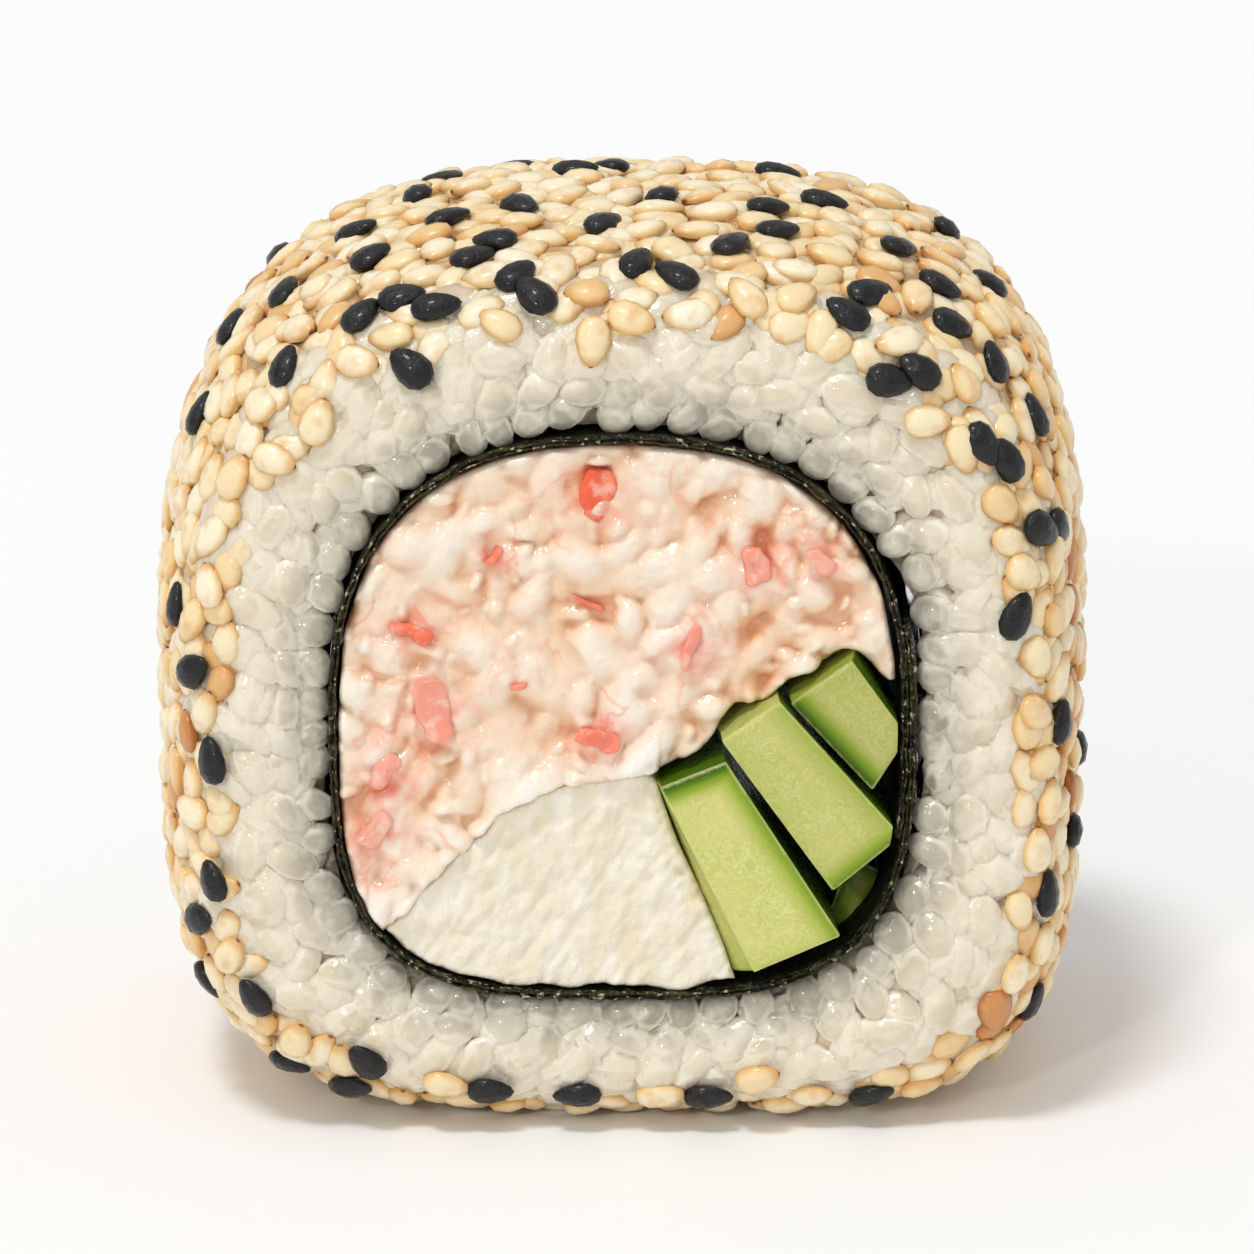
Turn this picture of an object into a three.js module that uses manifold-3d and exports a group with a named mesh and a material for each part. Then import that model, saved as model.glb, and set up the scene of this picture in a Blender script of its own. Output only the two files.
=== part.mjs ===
// One piece of a California roll: an inside-out roll, cut across, standing on its long side.
// A squared-off ring of rice, coated in sesame, holds a tube of nori. In the tube lie creamy crab salad,
// a wedge of cream cheese and sticks of cucumber, which all run through from one cut face to the other.
// Millimetres. X is to the right, Y runs along the roll's axis away from the front cut face, and Z is up.
// The origin is on the surface that the piece stands on, under its middle.
import * as THREE from "three";
import { mergeVertices } from "three/addons/utils/BufferGeometryUtils.js";
import Module from "manifold-3d";

// Driving dimensions
const ROLL = { width: 50, height: 48.4, depth: 32 }; // over the seeds and the grains that stand proud
const AXIS_Z = 23; // height of the roll's axis
const GAP = 0.3; // clearance between neighbouring pieces
const SEED_RISE = 0.6; // how far the sesame stands out of the rice
const GRAIN_RISE = 0.9; // how far the grains stand out of a cut face
const BASE_FLAT = 0.5; // depth of rice pressed flat where the piece stands
const FACE_FLAT = 3.0; // rice beside the nori that is flat on a cut face; past it the edge is rounded off
const FACE_WIDTH = 8.6; // rice from the nori to the sesame, as the section of the wall is drawn
const LIP = 0.8; // how far the rice draws back beside the nori
const CROWN = 2.6; // power of the rounded edge: 2 is an ellipse, more is squarer
const NORI = { thick: 0.45, rise: 0.75 }; // the rise is how far the sheet winds outwards in one turn
const LAP = { start: -0.42, turn: 0.75, ease: 0.3 }; // angles: the sheet's inner end, and where it lies double
const FILLING_INSET = 0.5; // how far cheese and nori end inside the grains' tips
const DRIFT = -0.06; // sideways drift of the cheese and cucumber for each millimetre along the roll

// Squared-off outlines about the roll's axis: half width, reach up and down, and how square each corner is,
// right and left. The roll sags a little to the right.
const OUTER = {
  side: ROLL.width / 2 - SEED_RISE,
  up: ROLL.height - AXIS_Z - SEED_RISE,
  down: AXIS_Z + BASE_FLAT,
  upPowers: [3.2, 2.8],
  downPowers: [4.8, 3.9],
};
const TUBE = { side: 15, up: 15.1, down: 15.1, upPowers: [2.45, 2.45], downPowers: [3.2, 3.4] };

// A cucumber stick lies between the middles of two ends on the cut face, each end with its own width.
// It stands proud of both cut faces, or lies back from them where proud is negative.
const STICKS = [
  { from: [3.8, 20.3], to: [9.35, 10.4], widths: [3.7, 5.0], proud: 0.4 },
  { from: [6.7, 23], to: [12.95, 15.3], widths: [3.3, 4.3], proud: 0.7 },
  { from: [10.5, 25.2], to: [14.1, 20.9], widths: [3.7, 3.5], proud: 0.3 },
  { from: [13.4, 13.6], to: [12.2, 10], widths: [2.2, 2.2], proud: -4.5 },
];

// Upper edge of the cream cheese from the nori to its tip, and the foot of its straight side.
const CHEESE_EDGE = [[-17, 7.5], [-12.1, 11.9], [-8.4, 15.8], [-4.9, 18.7], [-1.8, 19.8], [1.4, 20.2]];
const CHEESE_FOOT = [6.1, 7.6];
// Lower edge of the crab salad, from the tip of the cheese over the cucumber to the nori.
const CRAB_EDGE = [[2.2, 20.9], [4.1, 22], [6.4, 23.9], [9.3, 25], [11.9, 26.7], [17, 23.8]];

const TURN = 2 * Math.PI;
const FACE_Y = ROLL.depth / 2;

const wasm = await Module();
wasm.setup();

// Random draws repeat, because their seed is fixed.
const random = (() => {
  let state = 20;
  return (low, high) => {
    state = (Math.imul(state, 1664525) + 1013904223) >>> 0;
    return low + ((high - low) * state) / 2 ** 32;
  };
})();

function solidOf(geometry) {
  const bare = geometry.clone();
  bare.deleteAttribute("normal");
  bare.deleteAttribute("uv");
  const merged = mergeVertices(bare, 1e-3);
  return new wasm.Manifold(
    new wasm.Mesh({
      numProp: 3,
      vertProperties: new Float32Array(merged.attributes.position.array),
      triVerts: new Uint32Array(merged.index.array),
    }),
  );
}

function geometryOf(solid) {
  const mesh = solid.getMesh();
  const geometry = new THREE.BufferGeometry();
  geometry.setAttribute("position", new THREE.BufferAttribute(new Float32Array(mesh.vertProperties), 3));
  geometry.setIndex(new THREE.BufferAttribute(new Uint32Array(mesh.triVerts), 1));
  return geometry;
}

const join = (solids) => solids.reduce((whole, solid) => whole.add(solid));

// Cutting can leave crumbs, which are dropped.
const withoutCrumbs = (solid) => solid.decompose().reduce((a, b) => (a.volume() > b.volume() ? a : b));

// Distance from the roll's axis to a squared-off outline.
function reach(angle, outline) {
  const [across, rise] = [Math.cos(angle), Math.sin(angle)];
  const [height, powers] = rise < 0 ? [outline.down, outline.downPowers] : [outline.up, outline.upPowers];
  const power = across > 0 ? powers[0] : powers[1];
  return (Math.abs(across / outline.side) ** power + Math.abs(rise / height) ** power) ** (-1 / power);
}

const onRay = (angle, radius, y) =>
  new THREE.Vector3(radius * Math.cos(angle), y, AXIS_Z + radius * Math.sin(angle));

// Middle line of the nori, whose turn runs from 0 to past 1, where it lies over itself.
const sheetRadius = (turn) => reach(LAP.start + turn * TURN, TUBE) + NORI.rise * (turn - 0.5);

// How far round the sheet an angle is, from 0 at its inner end to 1 after a whole turn.
const turnAt = (angle) => THREE.MathUtils.euclideanModulo(angle - LAP.start, TURN) / TURN;

// The rice keeps clear of the sheet's outer end, and closes in gently past it instead of stepping.
function outsideOfTube(angle) {
  const turn = turnAt(angle);
  const end = LAP.turn / TURN;
  const covered = 1 - THREE.MathUtils.smoothstep(turn, end, end + LAP.ease / TURN);
  return sheetRadius(turn) + NORI.rise * covered + NORI.thick / 2 + GAP;
}

// The filling keeps clear of the sheet's inner end in the same way.
function insideOfTube(angle) {
  const turn = turnAt(angle);
  const near = THREE.MathUtils.smoothstep(turn, 1 - LAP.ease / TURN, 1);
  return sheetRadius(turn) - NORI.rise * near - NORI.thick / 2 - GAP;
}

// Section of the rice wall: distance out from the tube, and place along the roll, front face first.
function wallSection(steps) {
  const halfDepth = FACE_Y - GRAIN_RISE;
  const rounded = FACE_WIDTH - FACE_FLAT;
  const points = [new THREE.Vector2(0, LIP - halfDepth)];
  for (let i = 0; i <= steps; i++) {
    const turn = (i / steps - 0.5) * Math.PI;
    const out = Math.abs(Math.cos(turn)) ** (2 / CROWN);
    const along = Math.sign(turn) * Math.abs(Math.sin(turn)) ** (2 / CROWN);
    points.push(new THREE.Vector2(FACE_FLAT + rounded * out, halfDepth * along));
  }
  points.push(new THREE.Vector2(0, halfDepth - LIP));
  return points;
}

// Point of the rice's surface at an angle, for a point of the wall's section.
function ricePoint(angle, section) {
  const radius = THREE.MathUtils.lerp(outsideOfTube(angle), reach(angle, OUTER), section.x / FACE_WIDTH);
  return onRay(angle, radius, section.y);
}

// A lathed ring, whose radius stands for the distance out from the tube, is bent to the true outlines.
function riceCore() {
  const points = wallSection(9);
  const profile = [...points, points[0]].map((p) => new THREE.Vector2(1 + p.x, p.y));
  const ring = new THREE.LatheGeometry(profile, 40);
  const place = ring.attributes.position;
  for (let i = 0; i < place.count; i++) {
    const angle = Math.atan2(place.getZ(i), place.getX(i));
    const out = Math.hypot(place.getX(i), place.getZ(i)) - 1;
    const point = ricePoint(angle, new THREE.Vector2(out, place.getY(i)));
    place.setXYZ(i, point.x, point.y, point.z);
  }
  return solidOf(ring);
}

// A closed bead with few sides, longest along X. It rises above Z = 0 by its rise and is pointed below,
// where it is sunk. Taper makes one end the finer.
function bead({ length, width, rise, sides, taper }) {
  const profile = [[0, -0.6], [0.5, 0.25], [0, 1]].map(([x, y]) => new THREE.Vector2(x, y));
  const ball = new THREE.LatheGeometry(profile, sides).rotateX(Math.PI / 2);
  const place = ball.attributes.position;
  for (let i = 0; i < place.count; i++) {
    const waist = 1 - taper * place.getX(i);
    place.setXYZ(i, length * place.getX(i), width * waist * place.getY(i), rise * place.getZ(i));
  }
  return ball;
}

// Lays a bead on a surface, its thin side along the normal, turned by spin in the surface.
function laid(shape, point, normal, along, spin) {
  const x = along.clone().applyAxisAngle(normal, spin);
  const matrix = new THREE.Matrix4().makeBasis(x, normal.clone().cross(x), normal).setPosition(point);
  return solidOf(bead(shape).applyMatrix4(matrix));
}

// Walks round the roll on one line of the wall's section. At even steps it calls place(point, normal, along).
function eachAround(path, distance, spacing, stagger, place) {
  const length = path.getLength();
  const at = (angle, far) => ricePoint(angle, path.getPointAt(THREE.MathUtils.clamp(far / length, 0, 1)));
  const small = 0.01;
  const samples = 720;
  let walked = stagger * spacing;
  let last = at(0, distance);
  for (let i = 1; i <= samples; i++) {
    const angle = (i / samples) * TURN;
    const point = at(angle, distance);
    walked += point.distanceTo(last);
    last = point;
    if (walked < spacing) continue;
    walked -= spacing;
    const around = at(angle + small, distance).sub(at(angle - small, distance)).normalize();
    const onward = at(angle, distance + small).sub(at(angle, distance - small)).normalize();
    place(point, onward.cross(around).normalize(), around);
  }
}

// Rows of whole grains cover both cut faces.
function faceGrains(path) {
  const grains = [];
  const rows = [1.3, 3.7, 6.1];
  const spacing = 4.4;
  for (const [row, distance] of rows.entries())
    for (const side of [distance, path.getLength() - distance])
      eachAround(path, side, spacing, (row % 2) / 2, (point, normal, around) => {
        const shape = {
          length: random(3.5, 4.5),
          width: random(2.2, 2.6),
          rise: GRAIN_RISE,
          sides: 6,
          taper: 0.1,
        };
        grains.push(laid(shape, point, normal, around, random(-0.5, 0.5)));
      });
  return grains;
}

// Rows of sesame cover the outside, apart from the flat that the piece stands on.
function sesame(path) {
  const seeds = [];
  const rows = 6;
  const coatStart = 8.1;
  const spacing = 5.5;
  const clearOfBase = 1.2;
  for (let row = 0; row < rows; row++) {
    const distance = THREE.MathUtils.lerp(coatStart, path.getLength() - coatStart, row / (rows - 1));
    eachAround(path, distance, spacing, (row % 2) / 2, (point, normal, around) => {
      if (point.z < clearOfBase) return;
      const shape = {
        length: random(2.5, 3.0),
        width: random(1.6, 1.9),
        rise: SEED_RISE,
        sides: 5,
        taper: 0.5,
      };
      seeds.push(laid(shape, point, normal, around, random(0, TURN)));
    });
  }
  return seeds;
}

function riceWithSesame() {
  const path = new THREE.Path(wallSection(60));
  const bounds = new THREE.BoxGeometry(ROLL.width, ROLL.depth, ROLL.height).translate(0, 0, ROLL.height / 2);
  const whole = join([riceCore(), ...faceGrains(path), ...sesame(path)]);
  return withoutCrumbs(whole.subtract(tubePrism(outsideOfTube)).intersect(solidOf(bounds)));
}

// An upright outline of X and Z, drawn out along the roll from near to far, drifting sideways as it goes.
function drawnOut(points, near, far, drift = 0, bevel = 0) {
  const shape = new THREE.Shape(points.map(([x, z]) => new THREE.Vector2(x, z)));
  const body = new THREE.ExtrudeGeometry(shape, {
    depth: far - near - 2 * bevel,
    bevelEnabled: bevel > 0,
    bevelThickness: bevel,
    bevelSize: bevel,
    bevelOffset: -bevel,
    bevelSegments: 2,
  });
  body.rotateX(Math.PI / 2).translate(0, far - bevel, 0);
  const place = body.attributes.position;
  for (let i = 0; i < place.count; i++)
    place.setX(i, place.getX(i) + drift * (place.getY(i) + FACE_Y));
  return solidOf(body);
}

// Everything inside an outline about the axis, longer than the roll, to cut with.
function tubePrism(radiusAt) {
  const sides = 88;
  const points = Array.from({ length: sides }, (_, i) => {
    const angle = (i / sides) * TURN;
    const p = onRay(angle, radiusAt(angle), 0);
    return [p.x, p.z];
  });
  return drawnOut(points, -ROLL.depth, ROLL.depth);
}

// The nori is one sheet wound a little over one turn.
function noriSheet() {
  const steps = 64;
  const edge = (offset) =>
    Array.from({ length: steps + 1 }, (_, i) => {
      const turn = (i / steps) * (1 + LAP.turn / TURN);
      const p = onRay(LAP.start + turn * TURN, sheetRadius(turn) + offset, 0);
      return [p.x, p.z];
    });
  const outline = [...edge(NORI.thick / 2), ...edge(-NORI.thick / 2).reverse()];
  return drawnOut(outline, FILLING_INSET - FACE_Y, FACE_Y - FILLING_INSET);
}

// Four corners of a stick, moved outwards all round by margin.
function stickOutline({ from, to, widths }, margin) {
  const start = new THREE.Vector2(...from);
  const finish = new THREE.Vector2(...to);
  const along = finish.clone().sub(start).normalize();
  const across = new THREE.Vector2(-along.y, along.x);
  const corner = (end, beyond, half) =>
    end.clone().addScaledVector(along, beyond).addScaledVector(across, half).toArray();
  const [near, far] = widths.map((width) => width / 2 + margin);
  return [
    corner(start, -margin, near),
    corner(start, -margin, -near),
    corner(finish, margin, -far),
    corner(finish, margin, far),
  ];
}

function cucumber(spec) {
  const bevel = 0.15;
  const end = FACE_Y + spec.proud;
  const block = drawnOut(stickOutline(spec, 0), -end, end, DRIFT, bevel);
  return block.intersect(tubePrism(insideOfTube));
}

// The space that a stick takes, with clearance, from one end of the roll to the other.
const cucumberSpace = (spec) => drawnOut(stickOutline(spec, GAP), -ROLL.depth, ROLL.depth, DRIFT);

function cheeseOutline(margin) {
  const edge = new THREE.SplineCurve(CHEESE_EDGE.map(([x, z]) => new THREE.Vector2(x, z + margin)));
  const [footX, footZ] = CHEESE_FOOT;
  const [tipX, tipZ] = CHEESE_EDGE.at(-1);
  const below = footZ - 3;
  return [
    ...edge.getPoints(12).map((p) => p.toArray()),
    [tipX + 0.3 + margin, tipZ - 0.5],
    [footX + margin, footZ],
    [footX, below],
    [CHEESE_EDGE[0][0], below],
  ];
}

function creamCheese() {
  const bevel = 0.5;
  const block = drawnOut(cheeseOutline(0), FILLING_INSET - FACE_Y, FACE_Y - FILLING_INSET, DRIFT, bevel);
  return block.intersect(tubePrism(insideOfTube));
}

// Height of a line of points that run from left to right.
function heightAt(points, x) {
  const next = points.findIndex((p) => p[0] > x);
  const [a, b] = [points[next - 1], points[next]];
  return THREE.MathUtils.mapLinear(x, a[0], b[0], a[1], b[1]);
}

// Creamy lumps and flakes stand out of both cut faces of the salad.
function crabSalad() {
  const end = FACE_Y - 1.3;
  const lumpRise = 1.3;
  const lowerEdge = [...CHEESE_EDGE.slice(0, -1), ...CRAB_EDGE];
  const top = ROLL.height;
  const pieces = [drawnOut([...lowerEdge, [17, top], [-17, top]], -end, end)];
  const step = { across: 4.7, up: 3.5 };
  const rim = 1.6;
  const lowest = 12;
  for (let row = 0; row < 8; row++)
    for (let column = -4; column < 5; column++)
      for (const face of [-1, 1]) {
        const x = (column + (row % 2) / 2) * step.across + random(-0.5, 0.5);
        const z = lowest + row * step.up + random(-0.4, 0.4);
        const radius = Math.hypot(x, z - AXIS_Z);
        if (radius > insideOfTube(Math.atan2(z - AXIS_Z, x)) - rim) continue;
        if (z < heightAt(lowerEdge, x) + rim / 2) continue;
        const shape = {
          length: random(4.0, 5.4),
          width: random(2.7, 3.5),
          rise: lumpRise,
          sides: 6,
          taper: 0.15,
        };
        const right = new THREE.Vector3(1, 0, 0);
        const outward = new THREE.Vector3(0, face, 0);
        pieces.push(laid(shape, new THREE.Vector3(x, face * end, z), outward, right, random(0, Math.PI)));
      }
  const cheeseSpace = drawnOut(cheeseOutline(GAP), -ROLL.depth, ROLL.depth, DRIFT);
  const taken = join([cheeseSpace, ...STICKS.map(cucumberSpace)]);
  return withoutCrumbs(join(pieces).intersect(tubePrism(insideOfTube)).subtract(taken));
}

const piece = new THREE.Group();

function addPiece(name, solid, color, roughness) {
  const mesh = new THREE.Mesh(
    geometryOf(solid),
    new THREE.MeshStandardMaterial({ color, roughness, metalness: 0, flatShading: true }),
  );
  mesh.name = name;
  piece.add(mesh);
}

addPiece("rice", riceWithSesame(), 0xe6ddca, 0.45);
addPiece("nori", noriSheet(), 0x171c14, 0.4);
addPiece("crab_salad", crabSalad(), 0xf0cdb4, 0.35);
addPiece("cream_cheese", creamCheese(), 0xf3ecd9, 0.6);
for (const [i, spec] of STICKS.entries()) addPiece(`cucumber_${i + 1}`, cucumber(spec), 0xb4c46e, 0.35);

export default piece;
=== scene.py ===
"""One piece of a California roll, standing on its side on a pale floor.

A ring of rice grains, coated outside with cream, toasted and black sesame, holds a tube of nori.
The tube is filled with crab salad, a wedge of cream cheese and sticks of cucumber.
Lengths are in millimetres until a piece is finished, and MM takes them to metres.
X is to the right, Y runs along the roll away from the cut face in front, and Z is up.
"""

import functools
import math

import bmesh
import bpy
import numpy as np
from mathutils import Euler, Matrix, Vector, noise
from mathutils.geometry import delaunay_2d_cdt
from mathutils.kdtree import KDTree


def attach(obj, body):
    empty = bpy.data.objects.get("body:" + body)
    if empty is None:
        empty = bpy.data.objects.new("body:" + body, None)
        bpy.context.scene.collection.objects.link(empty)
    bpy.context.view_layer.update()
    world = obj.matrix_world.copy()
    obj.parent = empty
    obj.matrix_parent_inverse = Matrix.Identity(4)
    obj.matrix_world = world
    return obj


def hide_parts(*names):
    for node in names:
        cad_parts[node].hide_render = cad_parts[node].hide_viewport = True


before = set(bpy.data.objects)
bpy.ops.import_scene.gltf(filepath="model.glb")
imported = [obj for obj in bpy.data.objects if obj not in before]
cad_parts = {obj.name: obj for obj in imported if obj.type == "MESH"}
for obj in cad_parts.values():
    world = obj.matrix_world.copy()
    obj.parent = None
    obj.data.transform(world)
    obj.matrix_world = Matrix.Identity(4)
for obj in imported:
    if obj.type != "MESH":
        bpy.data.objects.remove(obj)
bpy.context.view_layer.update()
MM = 0.001
TURN = 2 * math.pi
BODY = "root"
# Where the random draws start
GRAIN_DRAWS, SEED_DRAWS, FLAKE_DRAWS, HOLLOW_DRAWS, RED_DRAWS = 11, 23, 70, 5, 91

# The roll: driving dimensions
HALF_WIDTH = 25.0
HALF_DEPTH = 16.0
HEIGHT = 48.4
AXIS_Z = 23.0
# How far seeds and grains stand out of the rice, and how far its outline dips under the floor, which cuts
# it flat
SEED_RISE = 0.6
GRAIN_RISE = 0.9
BASE_FLAT = 0.5
# The section of the rice's wall: how far from the nori its crown begins, its whole width, how far its edge
# at the nori lies in, and the power of the crown
FACE_FLAT = 3.0
FACE_WIDTH = 8.6
LIP = 0.8
CROWN = 2.6
# Gap between the solids, how far the fillings move to the side for each millimetre of depth, and how far
# the cut faces of cheese and nori lie in
GAP = 0.3
DRIFT = -0.06
FILLING_INSET = 0.5
# The nori: its thickness, how far it winds out in a turn, the angle of its inner end, and the angles over
# which it laps over itself and over which what lies beside it eases round its ends
NORI_THICK = 0.45
NORI_WIND = 0.75
LAP_START = -0.42
LAP_TURN = 0.75
LAP_EASE = 0.3
# Squared-off outlines: reach to the side, up and down, and powers at the right and left, above and below
OUTER = {
    "side": HALF_WIDTH - SEED_RISE,
    "up": HEIGHT - AXIS_Z - SEED_RISE,
    "down": AXIS_Z + BASE_FLAT,
    "up_powers": (3.2, 2.8),
    "down_powers": (4.8, 3.9),
}
# The middle of the nori
TUBE = {"side": 15.0, "up": 15.1, "down": 15.1, "up_powers": (2.45, 2.45), "down_powers": (3.2, 3.4)}

# The photograph's camera: a long lens, a little above the roll
CAMERA_RISE = math.radians(16)
CAMERA_DISTANCE = 350.0
CAMERA_AIM = Vector((0, 0, 24))
CAMERA_BACK = (0, -math.cos(CAMERA_RISE), math.sin(CAMERA_RISE))
CAMERA_UP = (0, math.sin(CAMERA_RISE), math.cos(CAMERA_RISE))
SENSOR = 36.0
# Pixels: the photograph's side, a millimetre at the camera's aim, and the place of the aim
PHOTO_SIZE = 1254
PHOTO_SCALE = 18.4
PHOTO_CENTRE = (621.0, 620.0)


def camera():
    back = Vector(CAMERA_BACK)
    data = bpy.data.cameras.new("camera")
    data.sensor_width = SENSOR
    data.lens = SENSOR * PHOTO_SCALE * CAMERA_DISTANCE / PHOTO_SIZE
    half = PHOTO_SIZE / 2
    data.shift_x = (half - PHOTO_CENTRE[0]) / PHOTO_SIZE
    data.shift_y = (PHOTO_CENTRE[1] - half) / PHOTO_SIZE
    data.clip_start = 0.01
    data.clip_end = 10
    thing = bpy.data.objects.new("camera", data)
    bpy.context.scene.collection.objects.link(thing)
    turned = Matrix((Vector((1, 0, 0)), Vector(CAMERA_UP), back)).transposed().to_4x4()
    place = Matrix.Translation((CAMERA_AIM + back * CAMERA_DISTANCE) * MM)
    thing.matrix_world = place @ turned
    bpy.context.scene.camera = thing


camera()


# Outlines of the roll

def smoothstep(low, high, value):
    share = np.clip((value - low) / (high - low), 0, 1)
    return share * share * (3 - 2 * share)


def reach(angle, outline):
    """Distance from the roll's axis to a squared-off outline."""
    across, rise = np.cos(angle), np.sin(angle)
    height = np.where(rise < 0, outline["down"], outline["up"])
    power = np.where(rise < 0, np.where(across > 0, *outline["down_powers"]),
                     np.where(across > 0, *outline["up_powers"]))
    return (np.abs(across / outline["side"]) ** power + np.abs(rise / height) ** power) ** (-1 / power)


def sheet_radius(turn):
    """Middle line of the nori, which winds outwards from its inner end."""
    return reach(LAP_START + turn * TURN, TUBE) + NORI_WIND * (turn - 0.5)


def turn_at(angle):
    return np.mod(angle - LAP_START, TURN) / TURN


def outside_of_tube(angle):
    turn = turn_at(angle)
    end = LAP_TURN / TURN
    covered = 1 - smoothstep(end, end + LAP_EASE / TURN, turn)
    return sheet_radius(turn) + NORI_WIND * covered + NORI_THICK / 2 + GAP


def inside_of_tube(angle):
    turn = turn_at(angle)
    near = smoothstep(1 - LAP_EASE / TURN, 1, turn)
    return sheet_radius(turn) - NORI_WIND * near - NORI_THICK / 2 - GAP


def on_ray(angle, radius, y):
    return np.stack([radius * np.cos(angle), y + 0 * angle, AXIS_Z + radius * np.sin(angle)], -1)


def polar(x, z):
    """Angle round the roll's axis, and distance from it."""
    return np.arctan2(z - AXIS_Z, x), np.hypot(x, z - AXIS_Z)


def roughness(points, size, seed=0.0, octaves=1):
    """Smooth noise of about -1 to 1, whose features have that size."""
    offset = Vector((seed, 2 * seed, -seed))
    if octaves == 1:
        return np.array([noise.noise(Vector(p) / size + offset) for p in points])
    return np.array([noise.fractal(Vector(p) / size + offset, 0.6, 2.0, octaves) for p in points])


def unit(vectors):
    return vectors / np.linalg.norm(vectors, axis=-1, keepdims=True)


def signed_power(value, power):
    return np.sign(value) * np.abs(value) ** power


def walked_along(line):
    """How far along a line each of its points lies."""
    return np.concatenate([[0], np.cumsum(np.linalg.norm(np.diff(line, axis=0), axis=1))])


# Meshes

def store(mesh, name, values):
    values = np.asarray(values, np.float32)
    flat = values.ndim == 1
    layer = mesh.attributes.new(name, "FLOAT" if flat else "FLOAT_VECTOR", "POINT")
    layer.data.foreach_set("value" if flat else "vector", values.ravel())


def places_of(mesh):
    flat = np.empty(len(mesh.vertices) * 3, np.float32)
    mesh.vertices.foreach_get("co", flat)
    return flat.reshape(-1, 3).astype(float)


def kept_above_floor(mesh):
    places = places_of(mesh)
    places[:, 2] = np.maximum(places[:, 2], 0)
    mesh.vertices.foreach_set("co", places.astype(np.float32).ravel())


def mesh_of(name, points, faces):
    mesh = bpy.data.meshes.new(name)
    mesh.from_pydata([tuple(p) for p in points], [], [tuple(f) for f in faces])
    return mesh


def band(low, high, count):
    """Faces of a closed band between two rows of that many points, given by their first ones."""
    return [(low + i, low + (i + 1) % count, high + (i + 1) % count, high + i) for i in range(count)]


def object_of(name, data):
    thing = bpy.data.objects.new(name, data)
    bpy.context.scene.collection.objects.link(thing)
    return thing


def evaluated(thing):
    """A plain mesh of an object with its modifiers applied."""
    graph = bpy.context.evaluated_depsgraph_get()
    return bpy.data.meshes.new_from_object(thing.evaluated_get(graph), depsgraph=graph)


def facing_out(mesh):
    work = bmesh.new()
    work.from_mesh(mesh)
    bmesh.ops.recalc_face_normals(work, faces=work.faces)
    work.to_mesh(mesh)
    work.free()


def finished(name, mesh, material, slot, *nodes):
    """Takes a mesh in millimetres to its place as a piece of the roll."""
    mesh.transform(Matrix.Scale(MM, 4))
    mesh.name = name
    mesh.materials.clear()
    mesh.materials.append(material)
    mesh.polygons.foreach_set("material_index", [0] * len(mesh.polygons))
    mesh.polygons.foreach_set("use_smooth", [True] * len(mesh.polygons))
    mesh.update()
    piece = object_of(name, mesh)
    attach(piece, BODY)
    if nodes:
        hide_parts(*nodes)
    return piece


# Node trees

def set_input(tree, socket, value):
    """Links an input to another node's output, or sets it to a value."""
    if isinstance(value, bpy.types.NodeSocket):
        tree.links.new(value, socket)
    else:
        socket.default_value = value


def add_node(tree, kind, inputs=None, **settings):
    made = tree.nodes.new(kind)
    for name, value in settings.items():
        setattr(made, name, value)
    for name, value in (inputs or {}).items():
        set_input(tree, made.inputs[name], value)
    return made


# Finishes

def rgb(*display):
    """Linear colour from a display colour of 0 to 255."""
    shares = [value / 255 for value in display]
    return (*(s / 12.92 if s <= 0.04045 else ((s + 0.055) / 1.055) ** 2.4 for s in shares), 1)


# Places of the sockets for colour on a Mix node
MIX_SHARE, MIX_FIRST, MIX_SECOND, MIX_RESULT = 0, 6, 7, 2


def paint(colour):
    """A display colour of three numbers as a linear one. A socket or a linear colour stays as it is."""
    return rgb(*colour) if isinstance(colour, tuple) and len(colour) == 3 else colour


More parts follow.
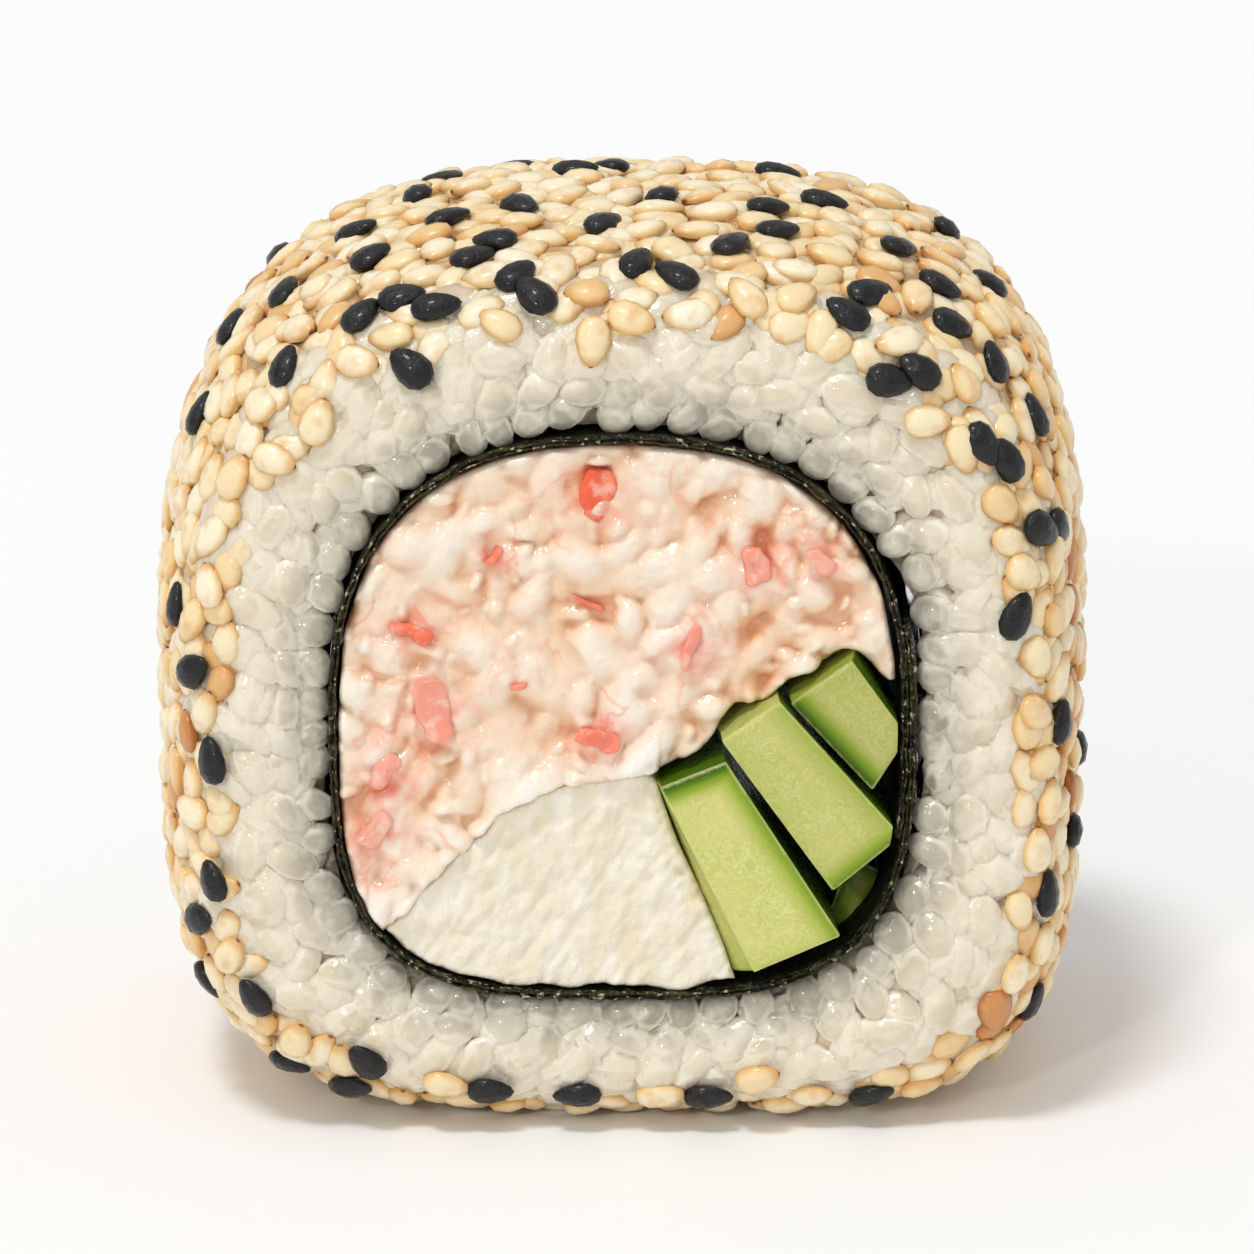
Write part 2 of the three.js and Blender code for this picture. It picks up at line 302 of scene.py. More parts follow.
class Finish:
    """A material's node tree, with short words for what the finishes here are made of.

    A soft finish lets light in, by a weight and the depths of red, green and blue. A coat has a weight and
    a roughness. Any value may be the name of one of the mesh's attributes.
    """

    def __init__(self, name, roughness, soft=None, coat=None, **sockets):
        self.material = bpy.data.materials.new(name)
        self.material.use_nodes = True
        self.tree = self.material.node_tree
        self.shader = self.tree.nodes["Principled BSDF"]
        self.where = self.tree.nodes.new("ShaderNodeTexCoord").outputs["Object"]
        values = {"Roughness": roughness}
        if soft:
            values["Subsurface Weight"] = soft[0]
            values["Subsurface Scale"] = 1.0
            values["Subsurface Radius"] = [depth * MM for depth in soft[1]]
        if coat:
            values["Coat Weight"], values["Coat Roughness"] = coat
        for socket, value in sockets.items():
            values[socket.replace("_", " ")] = value
        for socket, value in values.items():
            self.shader.inputs[socket].default_value = value

    def node(self, kind, inputs, **settings):
        made = add_node(self.tree, kind, **settings)
        for name, value in inputs.items():
            self.put(made.inputs[name], value)
        return made

    def put(self, socket, value):
        if isinstance(value, str):
            value = add_node(self.tree, "ShaderNodeAttribute", attribute_name=value).outputs["Fac"]
        set_input(self.tree, socket, value)

    def stretched(self, scale, turn):
        made = self.node("ShaderNodeMapping", {"Vector": self.where, "Scale": scale, "Rotation": turn})
        return made.outputs["Vector"]

    def noise(self, per_mm, detail=3.0, rough=0.5, source=None, distortion=0.0):
        made = self.node("ShaderNodeTexNoise", {
            "Vector": source or self.where, "Scale": per_mm / MM, "Detail": detail,
            "Roughness": rough, "Distortion": distortion})
        return made.outputs["Fac"]

    def cells(self, per_mm):
        made = self.node("ShaderNodeTexVoronoi", {"Vector": self.where, "Scale": per_mm / MM})
        return made.outputs["Distance"]

    def spread(self, value, low, high, to_low=0.0, to_high=1.0):
        made = self.node("ShaderNodeMapRange", {
            "Value": value, "From Min": low, "From Max": high, "To Min": to_low, "To Max": to_high})
        return made.outputs["Result"]

    def patches(self, per_mm, detail, low, high, to_low=0.0, to_high=1.0):
        """Patches of noise with soft edges."""
        return self.spread(self.noise(per_mm, detail), low, high, to_low, to_high)

    def blend(self, share, first, second, mode="MIX"):
        inputs = {MIX_SHARE: share, MIX_FIRST: paint(first), MIX_SECOND: paint(second)}
        return self.node("ShaderNodeMix", inputs, data_type="RGBA", blend_type=mode).outputs[MIX_RESULT]

    def ramp(self, value, *stops):
        """Colours at places in rising order."""
        made = self.node("ShaderNodeValToRGB", {"Fac": value})
        points = made.color_ramp.elements
        for place, colour in stops[1:-1]:
            points.new(place)
        for point, (place, colour) in zip(points, stops):
            point.position = place
            point.color = paint(colour)
        return made.outputs["Color"]

    def bump(self, height, depth, strength=1.0):
        """Adds relief of that depth in millimetres over what is there."""
        under = self.shader.inputs["Normal"]
        made = self.node("ShaderNodeBump", {"Height": height, "Distance": depth * MM, "Strength": strength})
        if under.is_linked:
            self.put(made.inputs["Normal"], under.links[0].from_socket)
        self.put(under, made.outputs["Normal"])

    def finish(self, colour, roughness=None):
        self.put(self.shader.inputs["Base Color"], colour)
        if roughness is not None:
            self.put(self.shader.inputs["Roughness"], roughness)
        return self.material


def moist_rice():
    """Milky where the grains are packed. Their outlines and creases are paler as painted light, grains are
    greyer and paste darker beside the nori as painted shade, and under the sesame it is golden brown, darker
    between the seeds as painted shade.
    """
    look = Finish("moist_rice", 0.14, soft=(0.45, (0.8, 0.75, 0.62)), coat=(0.9, 0.05),
                  IOR=1.4, Coat_IOR=1.45)
    milky = look.blend(look.patches(0.35, 2, 0.35, 0.65), (218, 205, 176), (230, 218, 194))
    # Painted shade: beside the nori the grains are greyer, for the dark nori seen through them
    clear = look.blend("tone", (160, 155, 138), (192, 185, 166))
    grain = look.blend("near_nori", milky, clear)
    clouded = look.blend(look.patches(0.9, 3, 0.45, 0.62, 0, 0.3), grain, (242, 235, 218))
    # Painted light: paler where a grain's surface turns away at its outline, and along the creases where
    # grains meet
    painted_rim_light = look.blend(look.spread("rim", 0.28, 0.6, 0, 0.8), clouded, (250, 243, 228))
    painted_crease_light = look.blend(look.spread("crease", 0.5, 1.0, 0, 0.4), painted_rim_light, (250, 242, 224))
    # Painted shade: the paste between the grains is darker beside the nori
    paste = look.blend("near_nori", (226, 208, 172), (168, 156, 126))
    packed = look.blend(look.spread("height", -0.6, -0.1, 1, 0), painted_crease_light, paste)
    # Painted shade: under the sesame the rice is golden brown, darker in a pattern of cells, for the shade
    # between the seeds
    between = look.blend(look.spread(look.cells(0.7), 0.25, 0.6), (238, 212, 164), (190, 148, 96))
    look.bump(look.noise(0.9, 3), 0.3, 0.6)
    look.bump(look.noise(2.6, 3), 0.1, 0.7)
    return look.finish(look.blend("coated", packed, between), look.patches(1.2, 2, 0.35, 0.65, 0.05, 0.2))


def pale_sesame():
    """Cream to brown by the seed's tone, darker at its rim and ends, with a dark dot at the tip."""
    look = Finish("pale_sesame", 0.34, soft=(0.12, (0.5, 0.35, 0.2)), coat=(0.25, 0.16), IOR=1.45)
    body = look.ramp("tone", (0.0, (252, 241, 214)), (0.45, (246, 224, 178)), (0.75, (236, 198, 138)),
                     (0.9, (222, 168, 104)), (1.0, (206, 140, 80)))
    edge = look.ramp("tone", (0.0, (240, 208, 146)), (0.5, (234, 186, 110)), (0.8, (214, 150, 80)),
                     (1.0, (172, 98, 44)))
    rimmed = look.blend(look.spread("crown", 0.05, 0.7, 1, 0), body, edge)
    patchy = look.blend(look.patches(0.9, 3, 0.5, 0.72, 0, 0.55), rimmed, (226, 170, 100))
    ends = look.blend(look.spread("along", 0.5, 0.95, 0, 0.8), patchy, (214, 156, 86))
    dot = look.blend(look.spread("along", 0.9, 0.97), ends, (104, 62, 30))
    look.bump(look.noise(1.6, 3), 0.08, 0.6)
    return look.finish(dot, look.patches(1.4, 2, 0.3, 0.7, 0.24, 0.46))


def black_sesame():
    look = Finish("black_sesame", 0.3, coat=(0.2, 0.1), IOR=1.5, Specular_IOR_Level=0.3)
    hue = look.blend(look.patches(1.2, 3, 0.4, 0.7), (12, 11, 12), (32, 30, 30))
    tip = look.blend(look.spread("along", 0.93, 0.99, 0, 0.6), hue, (84, 72, 58))
    look.bump(look.noise(2.2, 4, 0.6), 0.2, 0.9)
    return look.finish(tip, look.patches(1.8, 2, 0.3, 0.7, 0.22, 0.42))


def crinkled_nori():
    """Nearly black and dull, with an olive, moist cut edge that has painted glints as pale dots."""
    look = Finish("crinkled_nori", 0.25, IOR=1.45, Specular_IOR_Level=0.3)
    hue = look.blend(look.patches(0.9, 4, 0.4, 0.7), (9, 12, 5), (34, 38, 18))
    olive = look.blend(look.patches(1.6, 3, 0.4, 0.65), (20, 22, 8), (70, 66, 34))
    edged = look.blend("cut_edge", hue, olive)
    # Painted highlight: pale dots on the cut edge
    painted_glints = look.blend(look.patches(3.0, 2, 0.61, 0.67), (0, 0, 0), "cut_edge")
    look.bump(look.noise(1.5, 4, 0.6), 0.3, 0.9)
    look.bump(look.cells(2.2), 0.35, 1.0)
    return look.finish(look.blend(painted_glints, edged, (190, 184, 150)),
                       look.spread("cut_edge", 0.0, 1.0, 0.75, 0.12))


def creamy_crab():
    """Cream, with painted light by height: whiter on the high flakes and darker and warmer in the hollows
    between them, with reddish strands and blushes.
    """
    look = Finish("creamy_crab", 0.22, soft=(0.35, (0.9, 0.45, 0.3)), coat=(0.8, 0.06), IOR=1.4)
    # Painted light and shade by height: near white on the highest flakes, orange brown in the hollows
    hue = look.ramp("height", (0.0, (228, 158, 110)), (0.18, (240, 188, 145)), (0.38, (246, 215, 185)),
                    (0.64, (250, 232, 212)), (1.0, (252, 245, 235)))
    cream = look.blend(look.patches(0.22, 3, 0.5, 0.66, 0, 0.3), hue, (248, 212, 174))
    strand = look.ramp(look.noise(0.28, 4, distortion=0.6), (0.455, (0, 0, 0)), (0.5, (0.5, 0.5, 0.5, 1)),
                       (0.545, (0, 0, 0)))
    strands = look.blend(look.patches(0.2, 2, 0.48, 0.6), (0, 0, 0), strand)
    tinted = look.blend(strands, cream, (240, 146, 104))
    look.bump(look.noise(1.0, 4), 0.25, 0.7)
    look.bump(look.noise(3.0, 2), 0.08, 0.7)
    return look.finish(look.blend("blush", tinted, (242, 136, 108)),
                       look.patches(1.2, 3, 0.35, 0.65, 0.08, 0.26))


def red_crab():
    """Red fibres, paler by the flake's attribute and in patches."""
    look = Finish("red_crab", 0.24, soft=(0.15, (0.6, 0.25, 0.15)), coat=(0.45, 0.08), IOR=1.4)
    fibre = look.noise(1.0, 4, source=look.stretched((1, 1, 0.3), (0, 0.5, 0)))
    red = look.ramp(fibre, (0.3, (238, 78, 38)), (0.5, (244, 104, 62)), (0.75, (248, 146, 108)))
    paler = look.blend("pale", red, (250, 204, 184))
    patchy = look.spread(look.noise(0.9, 4, 0.6), 0.54, 0.68, 0, 0.5)
    look.bump(fibre, 0.2, 0.8)
    return look.finish(look.blend(patchy, paler, (253, 226, 208)))


def torn_cheese():
    """Cream in diagonal fibres, with painted shade that makes it darker and yellower in the hollows."""
    look = Finish("torn_cheese", 0.46, soft=(0.2, (0.8, 0.7, 0.5)), coat=(0.1, 0.3), IOR=1.4)
    fibre = look.noise(0.9, 4, source=look.stretched((1, 1, 0.35), (0, 0.6, 0)))
    hue = look.blend(look.spread(fibre, 0.35, 0.65), (237, 225, 197), (246, 239, 223))
    # Painted shade: darker and yellower where the face lies deeper, and a little on the walls
    low = look.blend(look.spread("height", 0.0, 0.5, 0.6, 0), hue, (232, 212, 168))
    look.bump(fibre, 0.3, 0.7)
    look.bump(look.noise(1.9, 4, 0.6), 0.16, 0.8)
    return look.finish(low, look.patches(1.2, 2, 0.35, 0.65, 0.3, 0.5))


def wet_cucumber():
    """Pale flesh with a fine squiggle, through greens to the dark skin, and a pale cut edge that is a painted
    highlight. The greens of the walls are partly painted shade.
    """
    look = Finish("wet_cucumber", 0.3, coat=(0.1, 0.1), IOR=1.35, Specular_IOR_Level=0.25)
    squiggle = look.noise(1.3, 2, distortion=2.5)
    flesh = look.ramp(squiggle, (0.44, (200, 202, 112)), (0.5, (220, 220, 150)), (0.56, (204, 206, 118)))
    green = look.blend(look.patches(0.3, 3, 0.4, 0.7, 0, 0.5), flesh, (218, 212, 134))
    for low, high, deeper in ((0.0, 0.35, (160, 178, 62)), (0.3, 0.65, (100, 138, 18)),
                              (0.6, 0.95, (42, 76, 4))):
        green = look.blend(look.spread("rind", low, high), green, deeper)
    # Painted highlight: a pale rim along the face's outline
    edged = look.blend(look.spread("edge", 0.3, 0.9, 0, 0.6), green, (214, 220, 140))
    shade = look.blend("shade", (255, 255, 255), (226, 226, 218))
    look.bump(squiggle, 0.06, 0.5)
    return look.finish(look.blend(1.0, edged, shade, "MULTIPLY"), look.patches(1.5, 2, 0.35, 0.65, 0.2, 0.4))


# Scattering by a node tree

# The tree's inputs for the shape's full size, with usual values
SIZES = {"Length": 3.0, "Width": 1.8, "Thickness": 0.9}


def scatter_tree(name, union):
    """A tree that lays a shape on every point, turned and sized by the point's own values."""
    tree = bpy.data.node_groups.new(name, "GeometryNodeTree")
    node = functools.partial(add_node, tree)
    for way in ("INPUT", "OUTPUT"):
        tree.interface.new_socket("Geometry", in_out=way, socket_type="NodeSocketGeometry")
    tree.interface.new_socket("Shape", in_out="INPUT", socket_type="NodeSocketObject")
    for size, usual in SIZES.items():
        socket = tree.interface.new_socket(size, in_out="INPUT", socket_type="NodeSocketFloat")
        socket.default_value = usual
    tree.interface.new_socket("Material", in_out="INPUT", socket_type="NodeSocketMaterial")

    def named(attribute):
        made = node("GeometryNodeInputNamedAttribute", data_type="FLOAT_VECTOR")
        made.inputs["Name"].default_value = attribute
        return made.outputs["Attribute"]

    given = node("NodeGroupInput").outputs
    shape = node("GeometryNodeObjectInfo", {"Object": given["Shape"]})
    full = node("ShaderNodeCombineXYZ", {axis: given[size] for axis, size in zip("XYZ", SIZES)})
    scale = node("ShaderNodeVectorMath", {0: full.outputs[0], 1: named("size")}, operation="MULTIPLY")
    lay = node("GeometryNodeInstanceOnPoints", {
        "Points": given["Geometry"], "Instance": shape.outputs["Geometry"],
        "Rotation": named("turn"), "Scale": scale.outputs[0]})
    last = lay.outputs["Instances"]
    if union:
        fuse = node("GeometryNodeMeshBoolean", {"Mesh 2": last}, operation="UNION", solver="MANIFOLD")
        last = fuse.outputs["Mesh"]
    real = node("GeometryNodeRealizeInstances", {"Geometry": last})
    dress = node("GeometryNodeSetMaterial", {
        "Geometry": real.outputs["Geometry"], "Material": given["Material"]})
    node("NodeGroupOutput", {"Geometry": dress.outputs["Geometry"]})
    return tree


def scattered(name, tree, points, shape, sizes, material):
    """The mesh that the tree makes of a table of points."""
    mesh = mesh_of(name, points["place"], [])
    for key in ("turn", "size", "tone"):
        store(mesh, key, points[key])
    carrier = object_of(name + "_points", mesh)
    modifier = carrier.modifiers.new(name, "NODES")
    modifier.node_group = tree
    values = dict(zip(SIZES, sizes), Shape=shape, Material=material)
    for item in tree.interface.items_tree:
        if item.in_out == "INPUT" and item.name in values:
            modifier[item.identifier] = values[item.name]
    made = evaluated(carrier)
    carrier.modifiers.remove(modifier)
    bpy.data.objects.remove(carrier)
    return made


def bead_shape(name, sides, rings, taper, lens):
    """A closed bead of unit length, width and thickness, finer at its positive X end."""
    turns = np.arange(sides) / sides * TURN
    rows = [(-0.5, 0.0, 0.0)]
    for x in np.cos(np.linspace(math.pi, 0, rings + 1)[1:-1]):
        girth = 0.5 * math.sqrt(1 - x * x) * (1 - taper * x)
        for turn in turns:
            rows.append((0.5 * x, girth * math.cos(turn), girth * signed_power(math.sin(turn), lens)))
    rows.append((0.5, 0.0, 0.0))
    faces = []
    for side in range(sides):
        after = (side + 1) % sides
        faces.append((0, 1 + after, 1 + side))
        for ring in range(rings - 2):
            base = 1 + ring * sides
            faces.append((base + side, base + after, base + sides + after, base + sides + side))
        base = 1 + (rings - 2) * sides
        faces.append((base + side, base + after, len(rows) - 1))
    mesh = mesh_of(name, rows, faces)
    store(mesh, "along", np.array(rows)[:, 0] * 2)
    store(mesh, "crown", np.abs(np.array(rows)[:, 2]) * 2)
    facing_out(mesh)
    return object_of(name, mesh)


# Places on the rice

PATH_SAMPLES = 400


def wall_path(step):
    """The rice wall's section from the nori round the outside and back to the nori, as even steps."""
    half = HALF_DEPTH - GRAIN_RISE
    turn = (np.linspace(0, 1, PATH_SAMPLES) - 0.5) * math.pi
    out = FACE_FLAT + (FACE_WIDTH - FACE_FLAT) * np.abs(np.cos(turn)) ** (2 / CROWN)
    along = half * signed_power(np.sin(turn), 2 / CROWN)
    points = np.concatenate([[[0, LIP - half]], np.stack([out, along], 1), [[0, half - LIP]]])
    walked = walked_along(points)
    steps = np.linspace(0, walked[-1], int(walked[-1] / step) + 1)
    return steps, np.stack([np.interp(steps, walked, points[:, i]) for i in (0, 1)], 1)


PATH_STEPS, PATH_POINTS = wall_path(0.05)
PATH_LENGTH = PATH_STEPS[-1]
# Steps round and along the wall by which its slopes are found, and points on a ring
SIDEWAYS = 0.02
ONWARD = 0.1
RING_SAMPLES = 400
# The rice comes this much closer to the nori than the solid does
RICE_CLOSER = 0.12


def rice_inside(angle):
    return outside_of_tube(angle) - RICE_CLOSER


def rice_at(angle, distance):
    """Points of the rice's surface, a distance along the wall's section from the nori in front."""
    out = np.interp(distance, PATH_STEPS, PATH_POINTS[:, 0])
    y = np.interp(distance, PATH_STEPS, PATH_POINTS[:, 1])
    radius = rice_inside(angle) + (reach(angle, OUTER) - rice_inside(angle)) * out / FACE_WIDTH
    return on_ray(angle, radius, y)


def rice_frame(angle, distance):
    """Points of the rice's surface, their outward normals, and directions round the roll."""
    around = rice_at(angle + SIDEWAYS, distance) - rice_at(angle - SIDEWAYS, distance)
    onward = rice_at(angle, distance + ONWARD) - rice_at(angle, distance - ONWARD)
    return rice_at(angle, distance), unit(np.cross(onward, around)), unit(around)


def ring_walk(distance):
    """Angles round the roll, and how far along the ring at that path distance each one lies."""
    angles = np.linspace(0, TURN, RING_SAMPLES)
    ring = rice_at(angles, np.full(RING_SAMPLES, distance))
    return angles, walked_along(ring)


def laid(normal, direction, spin, roll, pitch):
    """Turn that lays X along a direction in the surface, spun about the normal, and Z along the normal."""
    z = Vector(normal).normalized()
    x = Vector(direction)
    x = (x - z * x.dot(z)).normalized()
    turn = Matrix((x, z.cross(x), z)).transposed() @ Matrix.Rotation(spin, 3, "Z")
    return turn @ Matrix.Rotation(pitch, 3, "Y") @ Matrix.Rotation(roll, 3, "X")


class Points:
    """A growing table of things laid on the rice. The tree reads place, turn, size and tone."""

    KEYS = ("place", "turn", "size", "tone", "under", "normal")

    def __init__(self):
        self.rows = {key: [] for key in self.KEYS}

    def lay(self, draw, angle, distance, rise, size, tone, spin, sway, lowest=None):
        """Lays one thing at an angle and path distance, its middle raised above the surface by rise.

        It rolls and pitches by chance, at most by the two angles of its sway.
        """
        roll, pitch = (draw.uniform(-most, most) for most in sway)
        under, normal, around = (v[0] for v in rice_frame(np.array([angle]), np.array([distance])))
        place = under + normal * rise
        if lowest is not None:
            place[2] = max(place[2], lowest)
        turn = laid(normal, around, spin, roll, pitch)
        for key, value in zip(self.KEYS, (place, tuple(turn.to_euler()), size, tone, under, normal)):
            self.rows[key].append(value)

    def table(self):
        return {key: np.array(value, np.float32) for key, value in self.rows.items()}


# Rice

# Length, width and thickness of a grain
GRAIN = (3.2, 2.2, 1.8)
# Rows of grains on a cut face: path distance from the nori, spacing, shares of length and width, rise, spin,
# and how far the spin varies
GRAIN_ROWS = [
    (0.62, 1.95, 0.74, 0.95, -0.1, 1.2, 0.7),
    (2.3, 2.2, 0.95, 1.0, -0.15, 0.6, 0.9),
    (3.9, 2.4, 1.1, 1.05, -0.25, 0.5, 0.8),
    (5.5, 2.8, 1.25, 1.15, -0.4, 0.2, 0.7),
    (7.1, 3.0, 1.3, 1.2, -0.45, 0.0, 0.7),
    (1.5, 2.1, 0.9, 1.0, -0.5, 0.4, 1.5),
    (3.1, 2.1, 0.95, 1.0, -0.45, 0.2, 1.5),
    (4.7, 2.3, 1.1, 1.05, -0.5, 0.0, 1.5),
    (6.3, 2.5, 1.2, 1.1, -0.6, 0.0, 1.5),
]
# How far the innermost grains may reach towards the nori beyond the rice's wall
GRAIN_OVERLAP = 0.45
# How deep the core lies under the grains, and how much less so under the sesame
CORE_DEPTH = 0.5
CORE_RISE = 0.3
# Size of the core's lumps, how high they are, and how much higher under the sesame
LUMP_SIZE = 1.3
LUMPS = 0.12
COATED_LUMPS = 0.26
# The core keeps off the floor, where only grains and seeds stand
FLOOR_GAP = 0.35
# How many grains near a point are tried for its owner, and how near a grain's surface it has to be, as a
# share of the grain
NEAREST = 6
ON_GRAIN = 0.12


def grain_points():
    draw = np.random.default_rng(GRAIN_DRAWS)
    points = Points()
    for front in (True, False):
        for at, spacing, long, wide, usual_rise, usual_spin, spread in GRAIN_ROWS:
            count = int(ring_walk(at)[1][-1] / spacing)
            start = draw.uniform(0, TURN)
            for i in range(count):
                distance = at + draw.uniform(-0.4, 0.4)
                angle = start + (i + draw.uniform(-0.25, 0.25)) / count * TURN
                rise = usual_rise + draw.uniform(-0.12, 0.12)
                size = np.array((long, wide, 1)) * draw.uniform(0.86, 1.14, 3)
                tone = draw.uniform(0, 1)
                spin = usual_spin + draw.uniform(-1, 1) * spread
                length, width = GRAIN[0] * size[0], GRAIN[1] * size[1]
                half = math.hypot(length * math.sin(spin), width * math.cos(spin)) / 2
                distance = max(distance, half - GRAIN_OVERLAP)
                points.lay(draw, angle, distance if front else PATH_LENGTH - distance, rise, tuple(size),
                           tone, spin, sway=(0.3, 0.28))
    return points.table()


def rice_core():
    """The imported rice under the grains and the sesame, as one closed ring."""
    sides, outer, inner = 240, 120, 10
    angles = np.arange(sides) / sides * TURN
    rows = []
    for distance in np.linspace(0, PATH_LENGTH, outer):
        point, normal, _ = rice_frame(angles, np.full(sides, distance))
        coated = smoothstep(1.5, 5.5, min(distance, PATH_LENGTH - distance))
        rows.append(point - normal * (CORE_DEPTH - CORE_RISE * coated))
    end = HALF_DEPTH - GRAIN_RISE - LIP
    for y in np.linspace(end, -end, inner + 2)[1:-1]:
        rows.append(on_ray(angles, rice_inside(angles), np.full(sides, y)))
    verts = np.array(rows).reshape(-1, 3)
    axis = np.stack([verts[:, 0], 0 * verts[:, 1], verts[:, 2] - AXIS_Z], 1)
    steps = np.arange(outer)
    from_cut = np.minimum(steps, outer - 1 - steps) / (outer - 1) * PATH_LENGTH
    lumps = np.full(len(rows), LUMPS)
    lumps[:outer] += COATED_LUMPS * smoothstep(6.5, 8.5, from_cut)
    verts += unit(axis) * (roughness(verts, LUMP_SIZE, 3.0) * np.repeat(lumps, sides))[:, None]
    verts[:, 2] = np.maximum(verts[:, 2], FLOOR_GAP)
    faces = []
    for row in range(len(rows)):
        faces += band(row * sides, (row + 1) % len(rows) * sides, sides)
    return mesh_of("rice_core", verts, faces)


def owners(places, points):
    """For each place the grain it lies on, the outward direction there, and whether it is on its surface."""
    tree = KDTree(len(points["place"]))
    for i, place in enumerate(points["place"]):
        tree.insert(place, i)
    tree.balance()
    found = np.array([[hit[1] for hit in tree.find_n(p, NEAREST)] for p in places])
    turns = np.array([np.array(Euler(turn).to_matrix()) for turn in points["turn"]])
    halves = points["size"] * np.array(GRAIN) / 2
    offsets = places[:, None, :] - points["place"][found]
    local = np.einsum("vkji,vkj->vki", turns[found], offsets) / halves[found]
    off = np.abs(np.linalg.norm(local, axis=-1) - 1)
    best = off.argmin(1)
    pick = np.arange(len(places))
    owner = found[pick, best]
    normal = unit(np.einsum("vij,vj->vi", turns[owner], local[pick, best] / halves[owner]))
    return owner, normal, off[pick, best] < ON_GRAIN


def crease_grains(mesh, points):
    """Makes the edges sharp where one grain meets the next, and marks the vertices on such edges."""
    faces = len(mesh.polygons)
    centres, corners = np.empty(faces * 3, np.float32), np.empty(faces, np.int32)
    mesh.polygons.foreach_get("center", centres)
    mesh.polygons.foreach_get("loop_total", corners)
    owner, _, on_grain = owners(centres.reshape(-1, 3).astype(float), points)
    by_loop = np.repeat(np.where(on_grain, owner, -1), corners)
    edges = np.empty(len(mesh.loops), np.int32)
    mesh.loops.foreach_get("edge_index", edges)
    high = np.full(len(mesh.edges), -2)
    low = np.full(len(mesh.edges), len(points["place"]))
    np.maximum.at(high, edges, by_loop)
    np.minimum.at(low, edges, by_loop)
    sharp = high != low
    mesh.attributes.new("sharp_edge", "BOOLEAN", "EDGE").data.foreach_set("value", sharp)
    ends = np.empty(len(mesh.edges) * 2, np.int32)
    mesh.edges.foreach_get("vertices", ends)
    crease = np.zeros(len(mesh.vertices))
    crease[ends.reshape(-1, 2)[sharp].ravel()] = 1
    store(mesh, "crease", crease)


def grain_attributes(mesh, points):
    """Stores how near each vertex is to its grain's outline, the nori and the coat, and how high it lies."""
    places = places_of(mesh)
    owner, normal, on_grain = owners(places, points)
    facing = np.einsum("vi,vi->v", normal, points["normal"][owner])
    height = np.einsum("vi,vi->v", places - points["under"][owner], points["normal"][owner])
    angle, radius = polar(places[:, 0], places[:, 2])
    inner = outside_of_tube(angle)
    out = radius - inner
    store(mesh, "rim", np.where(on_grain, 1 - np.clip(facing, 0, 1), 0))
    store(mesh, "height", height)
    store(mesh, "tone", points["tone"][owner])
    store(mesh, "near_nori", 1 - smoothstep(0.9, 3.2, out))
    store(mesh, "coated", smoothstep(0.74, 0.92, out / (reach(angle, OUTER) - inner)))


def rice():
    points = grain_points()
    shape = bead_shape("grain_shape", 10, 7, 0.06, 1.0)
    material = moist_rice()
    tree = scatter_tree("lay_and_fuse_grains", True)
    heap = object_of("grains", scattered("grains", tree, points, shape, GRAIN, material))
    core = rice_core()
    facing_out(core)
    body = object_of("rice_body", core)
    fuse = body.modifiers.new("fuse", "BOOLEAN")
    fuse.operation = "UNION"
    fuse.solver = "MANIFOLD"
    fuse.object = heap
    mesh = evaluated(body)
    for helper in (body, heap, shape):
        bpy.data.objects.remove(helper)
    grain_attributes(mesh, points)
    crease_grains(mesh, points)
    kept_above_floor(mesh)
    finished("rice_grains", mesh, material, "rice", "rice")


# Sesame

# Length, width and thickness of a seed
SEED = (2.65, 1.85, 1.02)
# Where the sesame begins on the wall, at every eighth of a turn from the right of the roll over its top, and
# how far that edge wavers
COAT_START = (5.1, 4.8, 5.4, 4.5, 5.2, 5.3, 6.6, 5.7)
RAGGED = 0.5
# Black seeds are laid by chance only beyond this share of the wall, where the photograph shows none
HIDDEN_SHARE = 0.62
# Layers of seeds, top first: rise of a seed's middle, and the share of black ones. The last layer only fills
# places that the others leave open.
SEED_LAYERS = [
    {"rise": 0.16, "black": 0.12},
    {"rise": -0.14, "black": 0.05},
    {"rise": -0.4, "black": 0.0},
    {"rise": -0.1, "black": 0.0},
]
SEED_TRIES = 9000
# Rise of the seeds that the photograph shows, and how much more all seeds rise near the cut faces
SEEN_RISE = 0.38
LIFT = 0.42
# How low over the floor the middle of a seed may lie, of those that the photograph shows and of the others
SEEN_LOWEST = 0.5
LOWEST = 0.44

